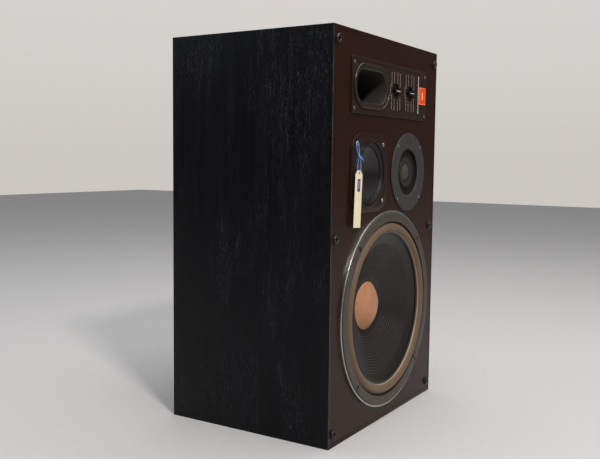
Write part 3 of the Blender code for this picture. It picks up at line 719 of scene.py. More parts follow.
def cut(ob, cutter):
    """Applies an exact Boolean difference to ob."""
    md = ob.modifiers.new("cut", "BOOLEAN")
    md.operation, md.solver, md.object = "DIFFERENCE", "EXACT", cutter
    bpy.context.view_layer.update()
    ev = ob.evaluated_get(bpy.context.evaluated_depsgraph_get())
    new = bpy.data.meshes.new_from_object(ev)
    old = ob.data
    ob.modifiers.clear()
    ob.data = new
    for i, mt in enumerate(old.materials):
        if i < len(new.materials):
            new.materials[i] = mt
        else:
            new.materials.append(mt)
    bpy.data.meshes.remove(old)
    bpy.data.objects.remove(cutter, do_unlink=True)


def from_cad(node, name, mats, bevel=0.0007, pick=None, seg=2, body="cabinet", smooth=35):
    """A finished copy of a plain CAD panel, with its edges eased."""
    src = frame["nodes"][node]
    mesh = bpy.data.meshes.new(name)
    bm = bmesh.new()
    bm.from_mesh(src.data)
    bmesh.ops.remove_doubles(bm, verts=bm.verts, dist=1e-6)
    bmesh.ops.dissolve_limit(bm, angle_limit=math.radians(1.0), verts=bm.verts, edges=bm.edges)
    sharp = [e for e in bm.edges if len(e.link_faces) == 2
             and e.calc_face_angle(0) > math.radians(30)]
    before = set(bm.faces)
    if bevel:
        bmesh.ops.bevel(bm, geom=sharp, offset=bevel, segments=seg, profile=0.6,
                        affect="EDGES", clamp_overlap=True)
    bmesh.ops.recalc_face_normals(bm, faces=bm.faces)
    if pick:
        for f in bm.faces:
            f.material_index = pick(f)
    bm.to_mesh(mesh)
    bm.free()
    return link(name, mesh, mats, facing=False, smooth=smooth, body=body, replaces=node)


# ----------------------------------------------------------------- cabinet
def edge_pick(f):
    """The front edges carry the baffle's paint; the eased front corner shows pale wood."""
    c, n = f.calc_center_median(), f.normal
    if c.y < FY + 0.0015 and n.y < -0.95:
        return 2
    if c.y < FY + 0.0015 and abs(abs(c.x) - 0.2285) < 0.0014 and abs(n.x) > 0.2 and abs(n.y) > 0.2:
        return 1
    return 0


EDGED = [M["veneer_z"], M["worn_edge"], M["baffle"]]
from_cad("side_panel_left", "left_side", EDGED, 0.0006, edge_pick)
from_cad("side_panel_right", "right_side", EDGED, 0.0006, edge_pick)
EDGED = [M["veneer_x"], M["worn_edge"], M["baffle"]]
from_cad("top_panel", "top_board", EDGED, 0.0006, edge_pick)
from_cad("bottom_panel", "bottom_board", EDGED, 0.0006, edge_pick)
from_cad("back_panel", "back_board_panel", [M["back_board"]], 0.0006)

for n in ("woofer_spider", "woofer_voice_coil", "woofer_magnet", "woofer_top_plate",
          "woofer_pole_yoke", "mid_voice_coil", "mid_magnet", "tweeter_magnet",
          "mid_level_control", "high_level_control", "crossover_board", "mid_enclosure",
          "front_baffle"):
    ob = frame["nodes"][n]
    key = {"woofer_spider": "spider", "woofer_voice_coil": "copper", "mid_voice_coil": "copper",
           "woofer_magnet": "ferrite", "crossover_board": "board", "front_baffle": "baffle",
           "mid_enclosure": "black_plastic"}.get(n, "iron")
    ob.data.materials.clear()
    ob.data.materials.append(M[key])

# ------------------------------------------------------------------ woofer
WX, WZ = centre("woofer_frame")
WR = (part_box("woofer_frame")[1].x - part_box("woofer_frame")[0].x) / 2 / MM

prof = fillet([(192.4, 2.5), (192.4, 4.7), (WR, 4.7), (WR, 0.3), (176.5, 0.3), (176.5, -22.0),
               (100.0, -64.0), (100.0, -87.7), (42.0, -87.7), (42.0, -84.9), (97.4, -84.9),
               (97.4, -69.5), (84.0, -69.5), (84.0, -66.8), (97.4, -66.8), (97.4, -62.2),
               (173.8, -20.2), (173.8, 2.5)],
              [0, 0.5, 1.1, 0, 0, 2, 3, 1, 0, 0, 1, 0, 0, 0, 0, 2, 1, 0.4], 4)
mesh = revolve_mesh("woofer_basket", prof, 176, pick=lambda i, r, t: 0 if r > 191 and t > 0.2 else 1)
basket = link("woofer_basket", mesh, [M["rim_silver"], M["basket"]], WX, WZ,
              replaces="woofer_frame")
for k in range(4):
    c = bpy.data.objects.new("slot", box_mesh("slot", (-0.2, -0.026, -0.055), (0.2, 0.026, -0.029)))
    bpy.context.scene.collection.objects.link(c)
    c.location = world(WX, WZ)
    c.rotation_euler = (Matrix.Rotation(math.pi / 2, 3, "X")
                        @ Matrix.Rotation(math.radians(45 * k + 22.5), 3, "Z")).to_euler()
    cut(basket, c)

# The gasket is four arcs that meet at the screws, each notched for a screw head.
prof = fillet([(174.3, 3.7), (174.3, 6.6), (192.0, 6.6), (192.0, 2.9), (180.2, 2.9), (180.2, 3.7)],
              [0, 1.2, 0.9, 0, 0, 0], 3)
parts = []
for k in range(4):
    parts.append((revolve_mesh("arc", prof, 44, arc=(45 + 90 * k + 0.35, 135 + 90 * k - 0.35)),
                  Matrix.Identity(4), None))
mesh = join_meshes("woofer_gasket_ring", parts)
gasket = link("woofer_gasket_ring", mesh, M["gasket"], WX, WZ, replaces="woofer_gasket")
bm = bmesh.new()
for a in (45, 135, 225, 315):
    c, s = math.cos(math.radians(a)), math.sin(math.radians(a))
    bmesh.ops.create_cone(bm, cap_ends=True, segments=28, radius1=4.4 * MM, radius2=4.4 * MM,
                          depth=12 * MM, matrix=Matrix.Translation((184.5 * MM * c, 184.5 * MM * s, 5 * MM)))
mesh = bpy.data.meshes.new("notch")
bm.to_mesh(mesh)
bm.free()
c = bpy.data.objects.new("notch", mesh)
bpy.context.scene.collection.objects.link(c)
c.location, c.rotation_euler = world(WX, WZ), FACING
cut(gasket, c)


# The half roll: a sheet about a millimetre thick, domed between gasket and cone.
R_IN, R_OUT, CREST = 151.6, 173.0, 8.2


def roll_t(r):
    if r <= R_IN:
        return -1.7 + (r - 148.6) * 0.16
    if r >= 173.55:
        return 3.3
    if r >= R_OUT:
        return -0.9
    u = (r - R_IN) / (R_OUT - R_IN)
    return -0.74 - 0.16 * u + (CREST + 0.8) * math.sin(math.pi * u) ** 0.80


rs = [148.6, 149.8, 151.0] \
    + [R_IN + (R_OUT - R_IN) * (1 - math.cos(math.pi * k / 28)) / 2 for k in range(29)] \
    + [173.15, 173.55, 179.6]
outer = [(r, roll_t(r)) for r in rs]
inner = [(r, t - (1.0 if R_IN + 1 < r < R_OUT - 1 else 0.5)) for r, t in reversed(outer)]
ripple = lambda r, t, a: (0.10 * math.sin(a * 7 + 1.0) + 0.07 * math.sin(a * 17 + 0.4)) \
    * max(0.0, math.sin(math.pi * min(1, max(0, (r - R_IN) / (R_OUT - R_IN)))))
mesh = revolve_mesh("woofer_half_roll", outer + inner, 192, bumps=ripple)
surround = link("woofer_half_roll", mesh, M["surround"], WX, WZ, body=None)
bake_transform(surround)
co = np.array([v.co for v in surround.data.vertices])
rad = np.hypot(co[:, 0] - WX * MM, co[:, 2] - WZ * MM) / MM
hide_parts("woofer_surround")

SLOPE = 0.431


def cone_t(r):
    return -2.6 - (152.0 - r) * SLOPE


def rib(r):
    """Pressed rings: rounded ridges 5.35 mm apart, fading out at both ends."""
    if not 55 < r < 133:
        return 0.0
    fade = min(1, (r - 55) / 5, (133 - r) / 5)
    return 1.25 * fade * (0.5 + 0.5 * math.cos(math.tau * (r - 62.0) / 5.35)) ** 1.9


front = [(150.9, -3.5)]
r = 149.6
while r > 40.0:
    front.append((r, cone_t(r) + rib(r)))
    r -= 0.67 if 54 < r < 134 else 2.5
front.append((39.4, cone_t(39.4)))
back = [(39.4, -54.8), (40.6, -54.8), (40.6, cone_t(40.6) - 1.3), (100.0, cone_t(100) - 1.1),
        (147.0, cone_t(147.0) - 1.0), (150.8, -4.6)]
mesh = revolve_mesh("woofer_cone_skin", front + back, 224)
link("woofer_cone_skin", mesh, M["cone"], WX, WZ, body="woofer_moving", replaces="woofer_cone",
     smooth=60)


def dome(edge_r, edge_t, height, n):
    big = (edge_r ** 2 + height ** 2) / (2 * height)
    half = math.asin(edge_r / big)
    return [(big * math.sin(half * k / n), edge_t + big * (math.cos(half * k / n) - math.cos(half)))
            for k in range(n, -1, -1)]


prof = list(reversed(dome(48.2, -45.5, 18.0, 16))) + [(48.9, -46.0), (48.6, -46.5)] \
    + dome(47.6, -46.6, 17.6, 12)
prof[0] = (0.0, prof[0][1])
prof[-1] = (0.0, prof[-1][1])
dent = lambda r, t, a: 0.25 * math.sin(2 * a + 0.6) * math.sin(math.pi * min(1, r / 48.0)) \
    + 0.12 * math.sin(5 * a) * math.sin(math.pi * min(1, r / 48.0))
mesh = revolve_mesh("woofer_cap", prof, 112, bumps=dent)
link("woofer_cap", mesh, M["dust_cap"], WX, WZ, body="woofer_moving", replaces="woofer_dust_cap",
     smooth=60)


# ------------------------------------------------------------------ screws
def screw_mesh(name, head_r, t0, t1, shank_r, length, flush=False):
    """The turned body of a screw with a low domed head; add_screw cuts its cross recess."""
    h = t1 - t0
    prof = [(0.0, t1)] if not flush else [(0.0, t1)]
    n = 7
    for k in range(1, n + 1):
        u = k / n
        prof.append((head_r * u, t0 + h * (0.35 + 0.65 * math.sqrt(max(0.0, 1 - u ** 2.6)))
                     if u < 1 else t0 + h * 0.35))
    prof += [(head_r, t0 + 0.05 * h), (head_r * 0.97, t0), (shank_r, t0), (shank_r, t0 - length),
             (0.0, t0 - length - 1.2)]
    mesh = revolve_mesh(name, prof, 28)
    return mesh


def add_screw(node, name, head_r, shank_r, mat, length=12.0, body="cabinet",
              turn=0.0):
    x, z = centre(node)
    t1 = top_of(node)
    lo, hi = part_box(node)
    t0 = t1 - {"woofer": 2.4, "mid": 1.9, "tweeter": 1.1, "plate": 1.4}[node.split("_")[0]]
    mesh = screw_mesh(name, head_r, t0, t1, shank_r, length)
    ob = link(name, mesh, mat, x, z, body=None, smooth=40)
    cross = bmesh.new()
    for k in range(2):
        bmesh.ops.create_cube(cross, size=1.0, matrix=Matrix.Rotation(math.radians(90 * k + turn), 4, "Z")
                              @ Matrix.Translation((0, 0, (t1 - 0.1) * MM))
                              @ Matrix.Diagonal((head_r * 1.15 * MM, 0.62 * MM, 1.7 * MM, 1)))
    m1 = bpy.data.meshes.new("cross")
    cross.to_mesh(m1)
    cross.free()
    # cut the two arms one after the other, as one body
    for k in range(2):
        c = bpy.data.objects.new("arm", box_mesh("arm", (-head_r * 0.56 * MM, -0.32 * MM, (t1 - 0.95) * MM),
                                                (head_r * 0.56 * MM, 0.32 * MM, (t1 + 1.0) * MM)))
        bpy.context.scene.collection.objects.link(c)
        c.location = world(x, z)
        c.rotation_euler = (Matrix.Rotation(math.pi / 2, 3, "X")
                            @ Matrix.Rotation(math.radians(90 * k + turn), 3, "Z")).to_euler()
        cut(ob, c)
    bpy.data.meshes.remove(m1)
    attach(ob, body)
    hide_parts(node)
    return ob


CORNERS = ("upper_right", "upper_left", "lower_left", "lower_right")
for c in CORNERS:                                # bolt holes through the basket's flange
    bm = bmesh.new()
    bmesh.ops.create_cone(bm, cap_ends=True, segments=24, radius1=2.5 * MM, radius2=2.5 * MM, depth=8 * MM)
    mesh = bpy.data.meshes.new("bolt_hole")
    bm.to_mesh(mesh)
    bm.free()
    hole = bpy.data.objects.new("bolt_hole", mesh)
    bpy.context.scene.collection.objects.link(hole)
    x, z = centre("woofer_screw_" + c)
    hole.location, hole.rotation_euler = world(x, z, 1.4), FACING
    cut(bpy.data.objects["woofer_basket"], hole)
# The lower-right bass screw gets bright steel and the other three dark steel: a painted glint on that one screw.
for i, c in enumerate(CORNERS):
    add_screw("woofer_screw_" + c, "bass_screw_" + c, 3.8, 2.0,
              M["steel"] if c == "lower_right" else M["screw_dark"], turn=20 + 33 * i)
    add_screw("mid_screw_" + c, "midrange_screw_" + c, 3.8, 1.9, M["screw_worn"], turn=12 + 41 * i)
    add_screw("tweeter_screw_" + c, "treble_screw_" + c, 3.2, 1.9, M["screw_worn"], turn=5 + 29 * i)
    add_screw("plate_screw_" + c, "panel_screw_" + c, 3.3, 1.7, M["screw_bronze"], turn=40 + 23 * i)

# ---------------------------------------------------------------- midrange
MX, MZ = centre("mid_frame")
MW = (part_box("mid_frame")[1].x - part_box("mid_frame")[0].x) / MM
mesh_a = plate_mesh("flange", rounded(MW, MW, 38.0, 14), [circle(63.6, 120)]
                    + [circle(2.5, 16, a * 53.65, b * 53.65) for a in (1, -1) for b in (1, -1)],
                    0.3, 2.6, 0.7, hole_bevel=0.2)
prof = fillet([(61.4, -1.4), (61.4, 2.1), (62.4, 3.0), (64.2, 3.0), (65.6, 2.55), (66.0, 0.4),
               (66.0, -16.0), (42.0, -30.0), (42.0, -38.0), (16.0, -38.0), (16.0, -35.6),
               (39.6, -35.6), (39.6, -28.6), (60.6, -16.2), (60.6, -1.8)],
              [0, 0.3, 0.5, 0.5, 0.2, 0, 2, 2, 1, 0, 0, 1, 1, 1, 0], 3)
mesh_b = revolve_mesh("cup", prof, 120)
mesh = join_meshes("midrange_frame", [(mesh_a, Matrix.Identity(4), 0), (mesh_b, Matrix.Identity(4), 0)])
link("midrange_frame", mesh, M["mid_flange"], MX, MZ, replaces="mid_frame")


def fold_t(r):
    """Two pressed folds between the frame and the cone."""
    u = (r - 49.4) / (60.4 - 49.4)
    return -1.0 + 0.5 * u + 1.15 * math.sin(math.pi * min(1, max(0, u)) * 3.5) ** 2


rs = [49.2 + (60.4 - 49.2) * k / 56 for k in range(57)]
outer = [(r, fold_t(r) - (0.8 if r < 50 else 0.0)) for r in rs]
inner = [(r, t - 0.7) for r, t in reversed(outer)]
mesh = revolve_mesh("midrange_folds", outer + inner, 128)
folds = link("midrange_folds", mesh, M["mid_fold"], MX, MZ, body=None)
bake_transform(folds)
co = np.array([v.co for v in folds.data.vertices])
rad = np.hypot(co[:, 0] - MX * MM, co[:, 2] - MZ * MM) / MM
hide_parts("mid_surround")


def mid_t(r):
    return -2.6 - (50.0 - r) * 0.56


front = [(49.6, -3.7), (48.6, mid_t(48.6) + 0.4)]
r = 47.6
while r > 19.5:
    front.append((r, mid_t(r) - 1.1 * math.sin(math.pi * (r - 19) / 29.0)))
    r -= 1.6
cap = [(19.2, mid_t(19.2) - 0.2)] + dome(18.6, -19.6, 6.1, 9)
cap[-1] = (0.0, cap[-1][1])
back = [(0.0, -14.6), (6.6, -15.4), (12.6, -18.0), (16.4, -20.4), (12.7, -22.8), (12.7, -26.5),
        (13.6, -26.5), (13.6, mid_t(13.6) - 1.5), (30.0, mid_t(30.0) - 2.0), (46.8, mid_t(46.8) - 1.0),
        (49.6, -4.6)]
prof = list(reversed(front + cap))
prof = prof + list(reversed(back))
mesh = revolve_mesh("midrange_cone", prof, 128, pick=lambda i, r, t: 1 if (r < 19.0 and t > -21 and i < 11) else 0)
link("midrange_cone", mesh, [M["mid_cone"], M["mid_cap"]], MX, MZ, body="mid_moving",
     replaces="mid_cone", smooth=50)

# ----------------------------------------------------------------- tweeter
TX, TZ = centre("tweeter_faceplate")
prof = fillet([(47.4, -5.2), (47.4, 0.2), (50.6, 2.5), (79.2, 2.5), (80.0, 1.6), (80.0, 0.3),
               (49.8, 0.3), (49.6, -7.6), (29.0, -7.6), (29.0, -12.0), (26.6, -12.0), (26.6, -6.1),
               (46.6, -6.1)], [0.4, 0.5, 1.6, 0.5, 0.3, 0, 0, 0.5, 0, 0, 0, 0.3, 0.4], 4)
mesh = revolve_mesh("treble_faceplate", prof, 144,
                    pick=lambda i, r, t: 1 if (r < 47.6 and -6.4 < t < -0.4) else 0)
face = link("treble_faceplate", mesh, [M["tweeter_face"], M["tweeter_felt"]], TX, TZ,
            replaces="tweeter_faceplate")
bm = bmesh.new()
for a in (1, -1):
    for b in (1, -1):
        bmesh.ops.create_cone(bm, cap_ends=True, segments=24, radius1=2.5 * MM, radius2=2.5 * MM,
                              depth=14 * MM, matrix=Matrix.Translation((a * 53.0 * MM, b * 52.5 * MM, 2 * MM)))
mesh = bpy.data.meshes.new("bores")
bm.to_mesh(mesh)
bm.free()
c = bpy.data.objects.new("bores", mesh)
bpy.context.scene.collection.objects.link(c)
c.location, c.rotation_euler = world(TX, TZ), FACING
cut(face, c)

prof = [(0.0, -1.7), (3.8, -1.85), (7.5, -2.45), (11.2, -3.5), (14.2, -4.9), (15.8, -6.0),
        (16.6, -6.4), (17.4, -6.2), (19.2, -5.5), (22.0, -4.7), (24.4, -4.1), (25.2, -4.3), (26.2, -4.3),
        (27.4, -3.5), (29.4, -3.0), (31.2, -3.5), (31.9, -4.9), (31.2, -5.3), (26.0, -5.6),
        (18.0, -6.9), (10.6, -9.4), (10.6, -16.0), (9.8, -16.0), (9.8, -7.2),
        (5.0, -3.4), (0.0, -2.7)]
dimple = lambda r, t, a: (0.22 * math.sin(2 * a + 1.0) + 0.12 * math.sin(3 * a)) * (r / 12.0 if r < 12 else max(0, (16.6 - r) / 4.6))
mesh = revolve_mesh("treble_cone", prof, 96, bumps=dimple,
                    pick=lambda i, r, t: 1 if (r < 16.4 and i < 6) else 0)
link("treble_cone", mesh, [M["tweeter_cone"], M["tweeter_cap"]], TX, TZ, body="tweeter_moving",
     replaces="tweeter_cone", smooth=50)

# ---------------------------------------------- control plate, port, knobs
PX, PZ = centre("control_plate")
lo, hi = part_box("control_plate")
PW, PH = (hi.x - lo.x) / MM, (hi.z - lo.z) / MM
QX, QZ = centre("port_tube")
lo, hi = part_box("port_tube")
QW, QH = (hi.x - lo.x) / MM, (hi.z - lo.z) / MM          # outside of the lip
LIP = 11.3
OW, OH, OR = QW - 2 * LIP, QH - 2 * LIP, 28.5            # the opening
KN = {"mid": centre("mid_level_knob"), "high": centre("high_level_knob")}
lo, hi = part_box("mid_level_knob")
KR = (hi.z - lo.z) / 2 / MM
holes = [rounded(OW + 7.4, OH + 7.4, OR + 3.7, 12, QX - PX, QZ - PZ)]


def negative(shape):
    """Holes grow where outlines shrink."""
    return lambda d: shape(-d)


holes = [negative(holes[0])]
holes += [circle(KR + 0.7, 56, x - PX, z - PZ) for x, z in KN.values()]
holes += [circle(2.3, 16, x - PX, z - PZ)
          for x, z in (centre("plate_screw_" + c) for c in CORNERS)]
mesh = plate_mesh("control_panel", rounded(PW, PH, 3.0, 7), holes, 0.3, 3.0, 0.6, hole_bevel=0.35)
link("control_panel", mesh, M["plate"], PX, PZ, replaces="control_plate")


def ring_sweep(name, section, n=16):
    bm = bmesh.new()
    rings = []
    for off, t in section:
        pts = rounded(OW + 2 * off, OH + 2 * off, OR + off, n)(0)
        rings.append([bm.verts.new((px * MM, py * MM, t * MM)) for px, py in pts])
    for k, (a, b) in enumerate(zip(rings, rings[1:] + rings[:1])):
        deep = min(section[k][1], section[(k + 1) % len(section)][1]) < 2.0
        for i in range(len(a)):
            j = (i + 1) % len(a)
            bm.faces.new((a[i], a[j], b[j], b[i])).material_index = int(deep)
    bmesh.ops.recalc_face_normals(bm, faces=bm.faces)
    mesh = bpy.data.meshes.new(name)
    bm.to_mesh(mesh)
    bm.free()
    return mesh


section = fillet([(0.0, -6.0), (0.0, 3.2), (1.6, 4.5), (8.2, 5.0), (8.9, 6.3), (LIP - 0.9, 6.3),
                  (LIP, 5.2), (LIP, 3.3), (2.5, 3.3), (2.5, -110.0), (0.0, -110.0)],
                 [0, 0.9, 0.8, 0.5, 0.5, 0.7, 0.6, 0, 0, 0.6, 0.6], 4)
mesh = ring_sweep("bass_port", section)
link("bass_port", mesh, [M["port"], M["port_bore"]], QX, QZ, replaces="port_tube")

for label, (x, z) in KN.items():
    prof = fillet([(0.0, 1.4), (KR - 3.2, 1.4), (KR - 2.2, 0.9), (KR - 0.8, 0.9), (KR, 0.0),
                   (KR, -4.0), (3.0, -4.0), (3.0, -15.0), (0.0, -15.0)],
                  [0, 0.5, 0.3, 0.5, 0.4, 0.2, 0, 0.3, 0], 3, closed=False)
    skirt = revolve_mesh("skirt", prof, 56)
    grip = plate_mesh("grip", rounded(22.4, 6.0, 2.4, 7), [], 0.4, 8.6, 1.1, 3)
    line = plate_mesh("line", rounded(18.0, 1.5, 0.5, 3, 1.0, 0), [], 8.4, 8.62, 0.05, 1)
    mesh = join_meshes(label + "_knob", [(skirt, Matrix.Identity(4), 0), (grip, Matrix.Identity(4), 0),
                                         (line, Matrix.Identity(4), 1)])
    link(label + "_knob", mesh, [M["knob"], M["white"]], x, z, body=label + "_knob",
         replaces=label + "_level_knob")

# Printed marks: rows of plain dashes beside each knob, and one upright rule.
marks = []


def dash(x, z, w, h, t=3.0):
    marks.append((box_mesh("d", ((x - w / 2 - PX) * MM, (z - h / 2 - PZ) * MM, (t - 0.05) * MM),
                           ((x + w / 2 - PX) * MM, (z + h / 2 - PZ) * MM, (t + 0.09) * MM)),
                  Matrix.Identity(4), 0))


for label, (kx, kz) in KN.items():
    for i, dx in enumerate((-19.5, -8.0, 7.5, 19.0)):
        near = 16.0 if abs(dx) < 12 else 9.0
        for sgn in (1, -1):
            z0 = near
            for seg_len in (3.0, 4.4, 2.2, 3.6, 2.6, 4.0, 2.4):
                if z0 + seg_len > 38.0:
                    break
                dash(kx + dx + 0.03 * z0, kz + sgn * (z0 + seg_len / 2), 1.7, seg_len)
                z0 += seg_len + 1.3
    for dx, dz in ((-22.6, -8.6), (-24.0, -4.2), (-24.4, 0.4), (-24.0, 5.0), (-22.6, 9.4)):
        dash(kx + dx, kz + dz, 1.5, 3.2)
mesh = join_meshes("panel_marks", marks)
link("panel_marks", mesh, M["marks"], PX, PZ, smooth=0)

marks = []
dash(125.0, 653.0, 2.6, 73.0)
dash(125.0, 690.0, 4.6, 1.6)
dash(125.0, 616.0, 4.6, 1.6)
mesh = join_meshes("panel_rule", marks)
link("panel_rule", mesh, M["white"], PX, PZ, smooth=0)

BX, BZ = centre("badge")
lo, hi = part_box("badge")
BW, BH = (hi.x - lo.x) / MM, (hi.z - lo.z) / MM
base = plate_mesh("b", rounded(BW, BH, 1.8, 6), [], 3.1, 4.1, 0.35, 2)
rim = plate_mesh("r", rounded(BW - 2.4, BH - 2.4, 1.2, 6), [negative(rounded(BW - 3.4, BH - 3.4, 0.8, 6))],
                 4.0, 4.18, 0.05, 1)
dot = join_meshes("d", [(plate_mesh("e", rounded(5.2, 15.0, 1.0, 4), [], 4.0, 4.2, 0.05, 1),
                         Matrix.Identity(4), None)])
mesh = join_meshes("panel_badge", [(base, Matrix.Identity(4), 0), (rim, Matrix.Identity(4), 1),
                                   (dot, Matrix.Identity(4), 1)])
link("panel_badge", mesh, [M["badge"], M["badge_pale"]], BX, BZ, replaces="badge")

# ---------------------------------------------------------- grille sockets
for place in ("upper_left", "upper_right", "middle_left", "middle_right", "lower_left", "lower_right"):
    x, z = centre("grille_socket_" + place)
    prof = fillet([(0.0, -12.0), (3.6, -12.0), (3.6, 3.0), (4.8, 4.3), (6.6, 4.3), (8.5, 2.6),
                   (8.5, 0.3), (6.0, 0.3), (6.0, -14.0), (0.0, -14.0)],
                  [0, 0, 0.5, 0.9, 1.2, 1.0, 0, 0, 0, 0], 3, closed=False)
    mesh = revolve_mesh("grille_grommet_" + place, prof, 40)
    link("grille_grommet_" + place, mesh, M["black_plastic"], x, z,
         replaces="grille_socket_" + place)

# ---------------------------------------------------------------- the back
from_cad("terminal_cup", "terminal_dish", [M["black_plastic"]], 0.0005)
for label in ("red", "black"):
    from_cad("terminal_lever_" + label, "spring_lever_" + label,
             [M["red"] if label == "red" else M["black_plastic"]], 0.0, body="lever_" + label)

# --------------------------------------------------------------- price tag
SX, SZ = centre("mid_screw_upper_left")
TAG_W, TAG_H, TAG_T, HOLE_DZ, TILT = 26.6, 104.4, 0.8, -53.4, math.radians(-3.2)


def card_outline(d):
    pts = [(-TAG_W / 2 + d, -TAG_H + 5.1 + d), (TAG_W / 2 - d, -TAG_H + 5.1 + d), (TAG_W / 2 - d, -3.0),
           (TAG_W / 2 - 7.0 - d * 0.4, 5.1 - d), (-TAG_W / 2 + 7.0 + d * 0.4, 5.1 - d),
           (-TAG_W / 2 + d, -3.0)]
    return fillet(pts, 1.2, 3)


def grid_card(name):
    """The card: a thin flat plate with a round hole for the string."""
    body = plate_mesh(name, card_outline, [circle(2.9, 24)], 7.85, 8.45, 0.12, 1)
    return body


card = grid_card("card")
eyelet = revolve_mesh("eyelet", fillet([(2.6, 7.75), (2.6, 8.62), (4.9, 8.62), (4.9, 7.75)], 0.2, 2), 32)
frame_print = plate_mesh("p", rounded(11.0, 23.4, 0.6, 3, 0.6, -22.0), [], 8.40, 8.50, 0.02, 1)
fill_print = plate_mesh("q", rounded(3.4, 14.0, 0.4, 3, 0.6, -21.0), [], 8.45, 8.54, 0.02, 1)
place = Matrix.Translation(Vector((-0.3, HOLE_DZ, 0)) * MM) @ Matrix.Rotation(TILT, 4, "Z")
mesh = join_meshes("price_card", [(card, place, 0), (eyelet, place, 0), (frame_print, place, 1),
                                  (fill_print, place, 2)])
card_ob = link("price_card", mesh, [M["card"], M["violet"], M["lilac"]], SX, SZ, body="tag",
               replaces="hang_tag")

LOOP = 4.75
route = [(9.5, -30.6, 12.0), (6.2, -28.4, 11.8), (3.0, -26.6, 11.2), (-0.6, -25.4, 10.6),
         (-2.3, -22.6, 8.8), (-3.2, -16.0, 6.6), (-4.2, -7.5, 4.6)]
route += [(LOOP * math.cos(math.radians(a)), LOOP * math.sin(math.radians(a)), 3.8)
          for a in range(180, -1, -30)]
route += [(4.0, -7.5, 4.6), (3.0, -16.0, 6.4), (1.8, -22.6, 7.9), (1.4, -26.6, 8.8),
          (3.2, -33.0, 9.3), (3.7, -39.5, 9.7), (2.2, -45.5, 9.9), (0.4, -50.2, 9.6),
          (-0.3, -53.0, 8.2), (-0.8, -50.6, 6.5), (-1.7, -46.0, 6.5), (-3.6, -40.0, 6.9),
          (-3.8, -33.5, 7.5), (-2.4, -28.6, 8.2)]


def smooth_route(pts, n):
    out = []
    ext = [pts[0]] + list(pts) + [pts[-1]]
    for a, b, c, d in zip(ext, ext[1:], ext[2:], ext[3:]):
        for k in range(n):
            u = k / n
            out.append(tuple(
                0.5 * (2 * q + (r - p) * u + (2 * p - 5 * q + 4 * r - s) * u * u
                       + (3 * q - p - 3 * r + s) * u ** 3)
                for p, q, r, s in zip(a, b, c, d)))
    return out + [pts[-1]]


def tube_mesh(name, pts, radius, sides=10, lay=0.0, ply=0.0):
    """A tube along world points; ply and lay give it a twisted two-strand section."""
    P = [Vector(p) for p in pts]
    bm = bmesh.new()
    rows, up, run = [], None, 0.0
    for i, p in enumerate(P):
        t = (P[min(i + 1, len(P) - 1)] - P[max(i - 1, 0)]).normalized()
        if up is None:
            up = t.orthogonal().normalized()
        up = (up - t * up.dot(t)).normalized()
        side = t.cross(up)
        if i:
            run += (p - P[i - 1]).length
        row = []
        for k in range(sides):
            a = math.tau * k / sides
            rr = radius * (1 - ply + ply * abs(math.cos(a + run * lay)))
            row.append(bm.verts.new(p + (up * math.cos(a) + side * math.sin(a)) * rr))
        rows.append(row)
    for A, B in zip(rows, rows[1:]):
        for k in range(sides):
            j = (k + 1) % sides
            bm.faces.new((A[k], A[j], B[j], B[k]))
    bm.faces.new(rows[0])
    bm.faces.new(rows[-1])
    bmesh.ops.recalc_face_normals(bm, faces=bm.faces)
    mesh = bpy.data.meshes.new(name)
    bm.to_mesh(mesh)
    bm.free()
    return mesh


def tag_world(p):
    return world(SX + p[0], SZ + p[1], p[2])


path = [tag_world(p) for p in smooth_route(route, 8)]
mesh = tube_mesh("tie_string", path, 0.00056, 12, lay=1900.0, ply=0.28)
string = link("tie_string", mesh, M["string"], facing=False, body="tag", replaces="tag_string",
              smooth=60)

# The knot: two turns of the same string round the legs.
knot = []
for k in range(33):
    a = math.tau * 1.6 * k / 32
    knot.append(tag_world((0.2 + 2.9 * math.cos(a) + 0.5 * math.sin(2 * a), -25.8 + 3.6 * (k / 32 - 0.5) * 1.2 + 1.1 * math.sin(a),
                           9.4 + 2.3 * math.sin(a))))
mesh = tube_mesh("tie_knot", knot, 0.00056, 12, lay=1900.0, ply=0.28)
knot_ob = link("tie_knot", mesh, M["string"], facing=False, body="tag", smooth=60)


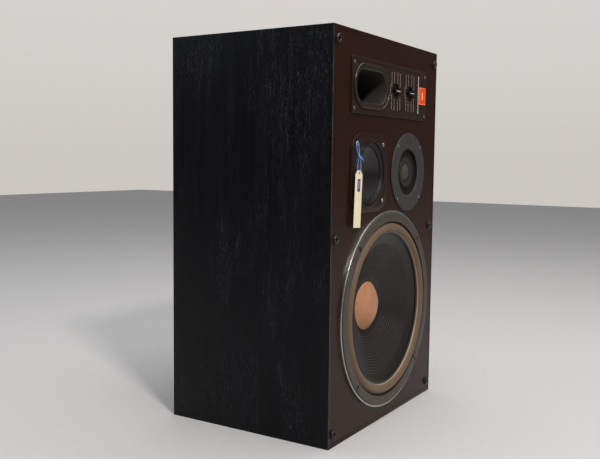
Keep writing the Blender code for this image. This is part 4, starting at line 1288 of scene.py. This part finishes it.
# ------------------------------------------------------------------- stage
def add_stage():
    m = Mat("pale_floor", (0.46, 0.45, 0.445), 0.85, spec=0.2)
    m.mix(m.ramp(m.noise(60, 4, 0.7), 0.4, 0.7, 0.0, 0.3), (0.42, 0.41, 0.405))
    me = bpy.data.meshes.new("floor")
    me.from_pydata([(-8, -8, 0), (8, -8, 0), (8, 8, 0), (-8, 8, 0)], [], [(0, 1, 2, 3)])
    floor = bpy.data.objects.new("floor", me)
    bpy.context.scene.collection.objects.link(floor)
    me.materials.append(m.done())

    wd = bpy.data.worlds.new("studio")
    wd.use_nodes = True
    bpy.context.scene.world = wd
    nt = wd.node_tree
    tc = nt.nodes.new("ShaderNodeTexCoord")
    sep = nt.nodes.new("ShaderNodeSeparateXYZ")
    nt.links.new(tc.outputs["Generated"], sep.inputs[0])

    def sky(strength, stops):
        ramp = nt.nodes.new("ShaderNodeValToRGB")
        els = ramp.color_ramp.elements
        els[0].position, els[0].color = stops[0][0], (*stops[0][1], 1)
        els[1].position, els[1].color = stops[-1][0], (*stops[-1][1], 1)
        for at, col in stops[1:-1]:
            els.new(at).color = (*col, 1)
        nt.links.new(sep.outputs[2], ramp.inputs["Fac"])
        bg = nt.nodes.new("ShaderNodeBackground")
        nt.links.new(ramp.outputs["Color"], bg.inputs["Color"])
        bg.inputs["Strength"].default_value = strength
        return bg.outputs[0]

    light = sky(0.8, [(0.0, (0.15, 0.125, 0.11)), (0.15, (0.15, 0.13, 0.12)),
                      (0.42, (0.32, 0.31, 0.31)), (0.95, (0.90, 0.92, 0.96))])
    seen = sky(1.0, [(0.0, (0.60, 0.57, 0.545)), (0.25, (0.70, 0.675, 0.655)), (0.9, (0.78, 0.78, 0.78))])
    mix = nt.nodes.new("ShaderNodeMixShader")
    nt.links.new(nt.nodes.new("ShaderNodeLightPath").outputs["Is Camera Ray"], mix.inputs[0])
    nt.links.new(light, mix.inputs[1])
    nt.links.new(seen, mix.inputs[2])
    nt.links.new(mix.outputs[0], nt.nodes["World Output"].inputs["Surface"])

    def area(name, loc, target, size, power, color):
        l = bpy.data.lights.new(name, "AREA")
        l.shape, l.size, l.size_y = "RECTANGLE", size[0], size[1]
        l.energy, l.color = power, color
        o = bpy.data.objects.new(name, l)
        bpy.context.scene.collection.objects.link(o)
        o.location = loc
        o.rotation_euler = (Vector(target) - Vector(loc)).to_track_quat("-Z", "Y").to_euler()

    area("key", (-1.75, -2.4, 3.0), (0, -0.15, 0.4), (0.5, 0.45), 111, (1.0, 0.97, 0.93))
    area("overhead", (0.3, -0.4, 3.0), (0, 0, 0), (2.6, 2.2), 60, (1.0, 0.99, 0.97))
    area("rim", (-1.2, 2.8, 2.9), (0, 0, 0.5), (1.4, 1.4), 16, (0.72, 0.85, 1.0))


add_stage()
